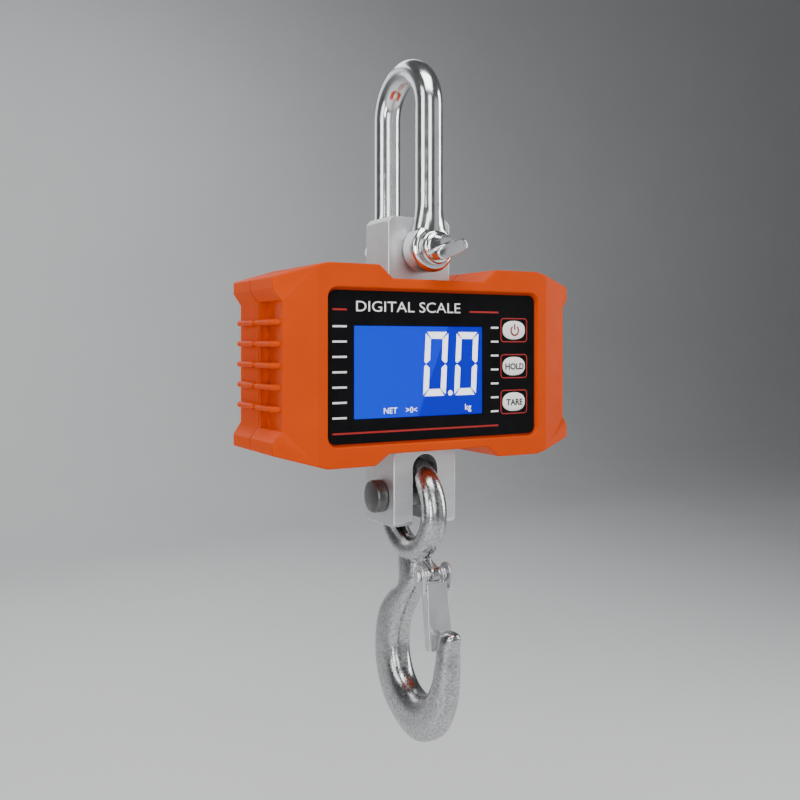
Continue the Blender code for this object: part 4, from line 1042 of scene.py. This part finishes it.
# %% [markdown]
# ## Camera, light and floor
# A product picture is taken in a light tent: broad soft lights from above, from the front and
# from each side, and a pale floor and wall that fill the shadows. A narrow strip low on the left
# draws a highlight along the hook. The camera stands a little to the left of the display, level
# with the housing.

# %% Camera, studio and floor
def look(target, place, toward):
    target.location = place
    target.rotation_euler = Vector(toward).to_track_quat("-Z", "Y").to_euler()


camera_data = bpy.data.cameras.new("viewpoint")
camera = bpy.data.objects.new("viewpoint", camera_data)
bpy.context.scene.collection.objects.link(camera)
camera_data.lens = 41.06
camera_data.shift_y = -0.0717
camera_data.clip_start = 0.01
look(camera, at(-229.05, -386.13, 10.0), (0.503, 0.864, 0))
bpy.context.scene.camera = camera

frame_low, frame_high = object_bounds()
FLOOR_Z = frame_low.z - 0.25


def panel_light(name, place, target, size, power):
    data = bpy.data.lights.new(name, "AREA")
    data.shape = "RECTANGLE"
    data.size, data.size_y = size
    data.energy = power
    light = bpy.data.objects.new(name, data)
    bpy.context.scene.collection.objects.link(light)
    look(light, Vector(place), Vector(target) - Vector(place))


middle = (frame_low + frame_high) / 2
hook_middle = (0, 0, frame_low.z + 0.07)
LIGHTS = (
    ("top_softbox", (-0.15, -0.35, 0.60), middle, (0.6, 0.5), 7),
    ("left_softbox", (-0.95, -0.10, 0.10), middle, (0.35, 0.9), 4),
    ("front_softbox", (-0.50, -1.20, 0.15), middle, (0.45, 0.9), 5.0),
    ("low_strip", (-0.95, -0.62, -0.20), hook_middle, (0.12, 0.5), 3.0),
    ("front_fill", (0.75, -1.15, 0.0), middle, (0.9, 1.1), 1.3),
    ("right_softbox", (1.00, -0.35, 0.1), middle, (0.3, 0.9), 7),
    ("back_softbox", (-0.2, 1.15, 0.3), middle, (0.9, 0.6), 2),
    ("floor_light", (0.0, 1.2, 0.9), (0.0, 1.6, FLOOR_Z), (1.4, 0.9), 9),
)
for name, place, target, size, power in LIGHTS:
    panel_light(name, place, target, size, power)
print("lights:", len(LIGHTS), "power, W:", sum(row[-1] for row in LIGHTS))

# %% Faint light all round, and the floor
world = bpy.data.worlds.new("light_tent")
bpy.context.scene.world = world
world.use_nodes = True
world.node_tree.nodes["Background"].inputs["Color"].default_value = (0.82, 0.84, 0.87, 1)
world.node_tree.nodes["Background"].inputs["Strength"].default_value = 0.11


def sweep():
    """A floor that curves up far behind, so that there is no horizon line."""
    bm = bmesh.new()
    half = 9.0
    profile = [(-9.0, FLOOR_Z), (1.6, FLOOR_Z)]
    for step in range(1, 13):
        turn = math.radians(90 * step / 12)
        profile.append((1.6 + 0.8 * math.sin(turn), FLOOR_Z + 0.8 - 0.8 * math.cos(turn)))
    profile.append((2.4, 3.5))
    rows = [[bm.verts.new((x, y, z)) for y, z in profile] for x in (-half, half)]
    for index in range(len(profile) - 1):
        bm.faces.new((rows[0][index], rows[1][index], rows[1][index + 1], rows[0][index + 1]))
    mesh = bpy.data.meshes.new("sweep")
    bm.to_mesh(mesh)
    bm.free()
    piece = bpy.data.objects.new("sweep", mesh)
    bpy.context.scene.collection.objects.link(piece)
    for polygon in mesh.polygons:
        polygon.use_smooth = True
    mesh.materials.append(finish("pale_paper", (0.80, 0.81, 0.82), (0.83, 0.84, 0.85),
                                 (0.75, 0.85), colour_mm=300, skin=((1.5, 0.02),)))


sweep()
print("floor height:", round(FLOOR_Z, 3))
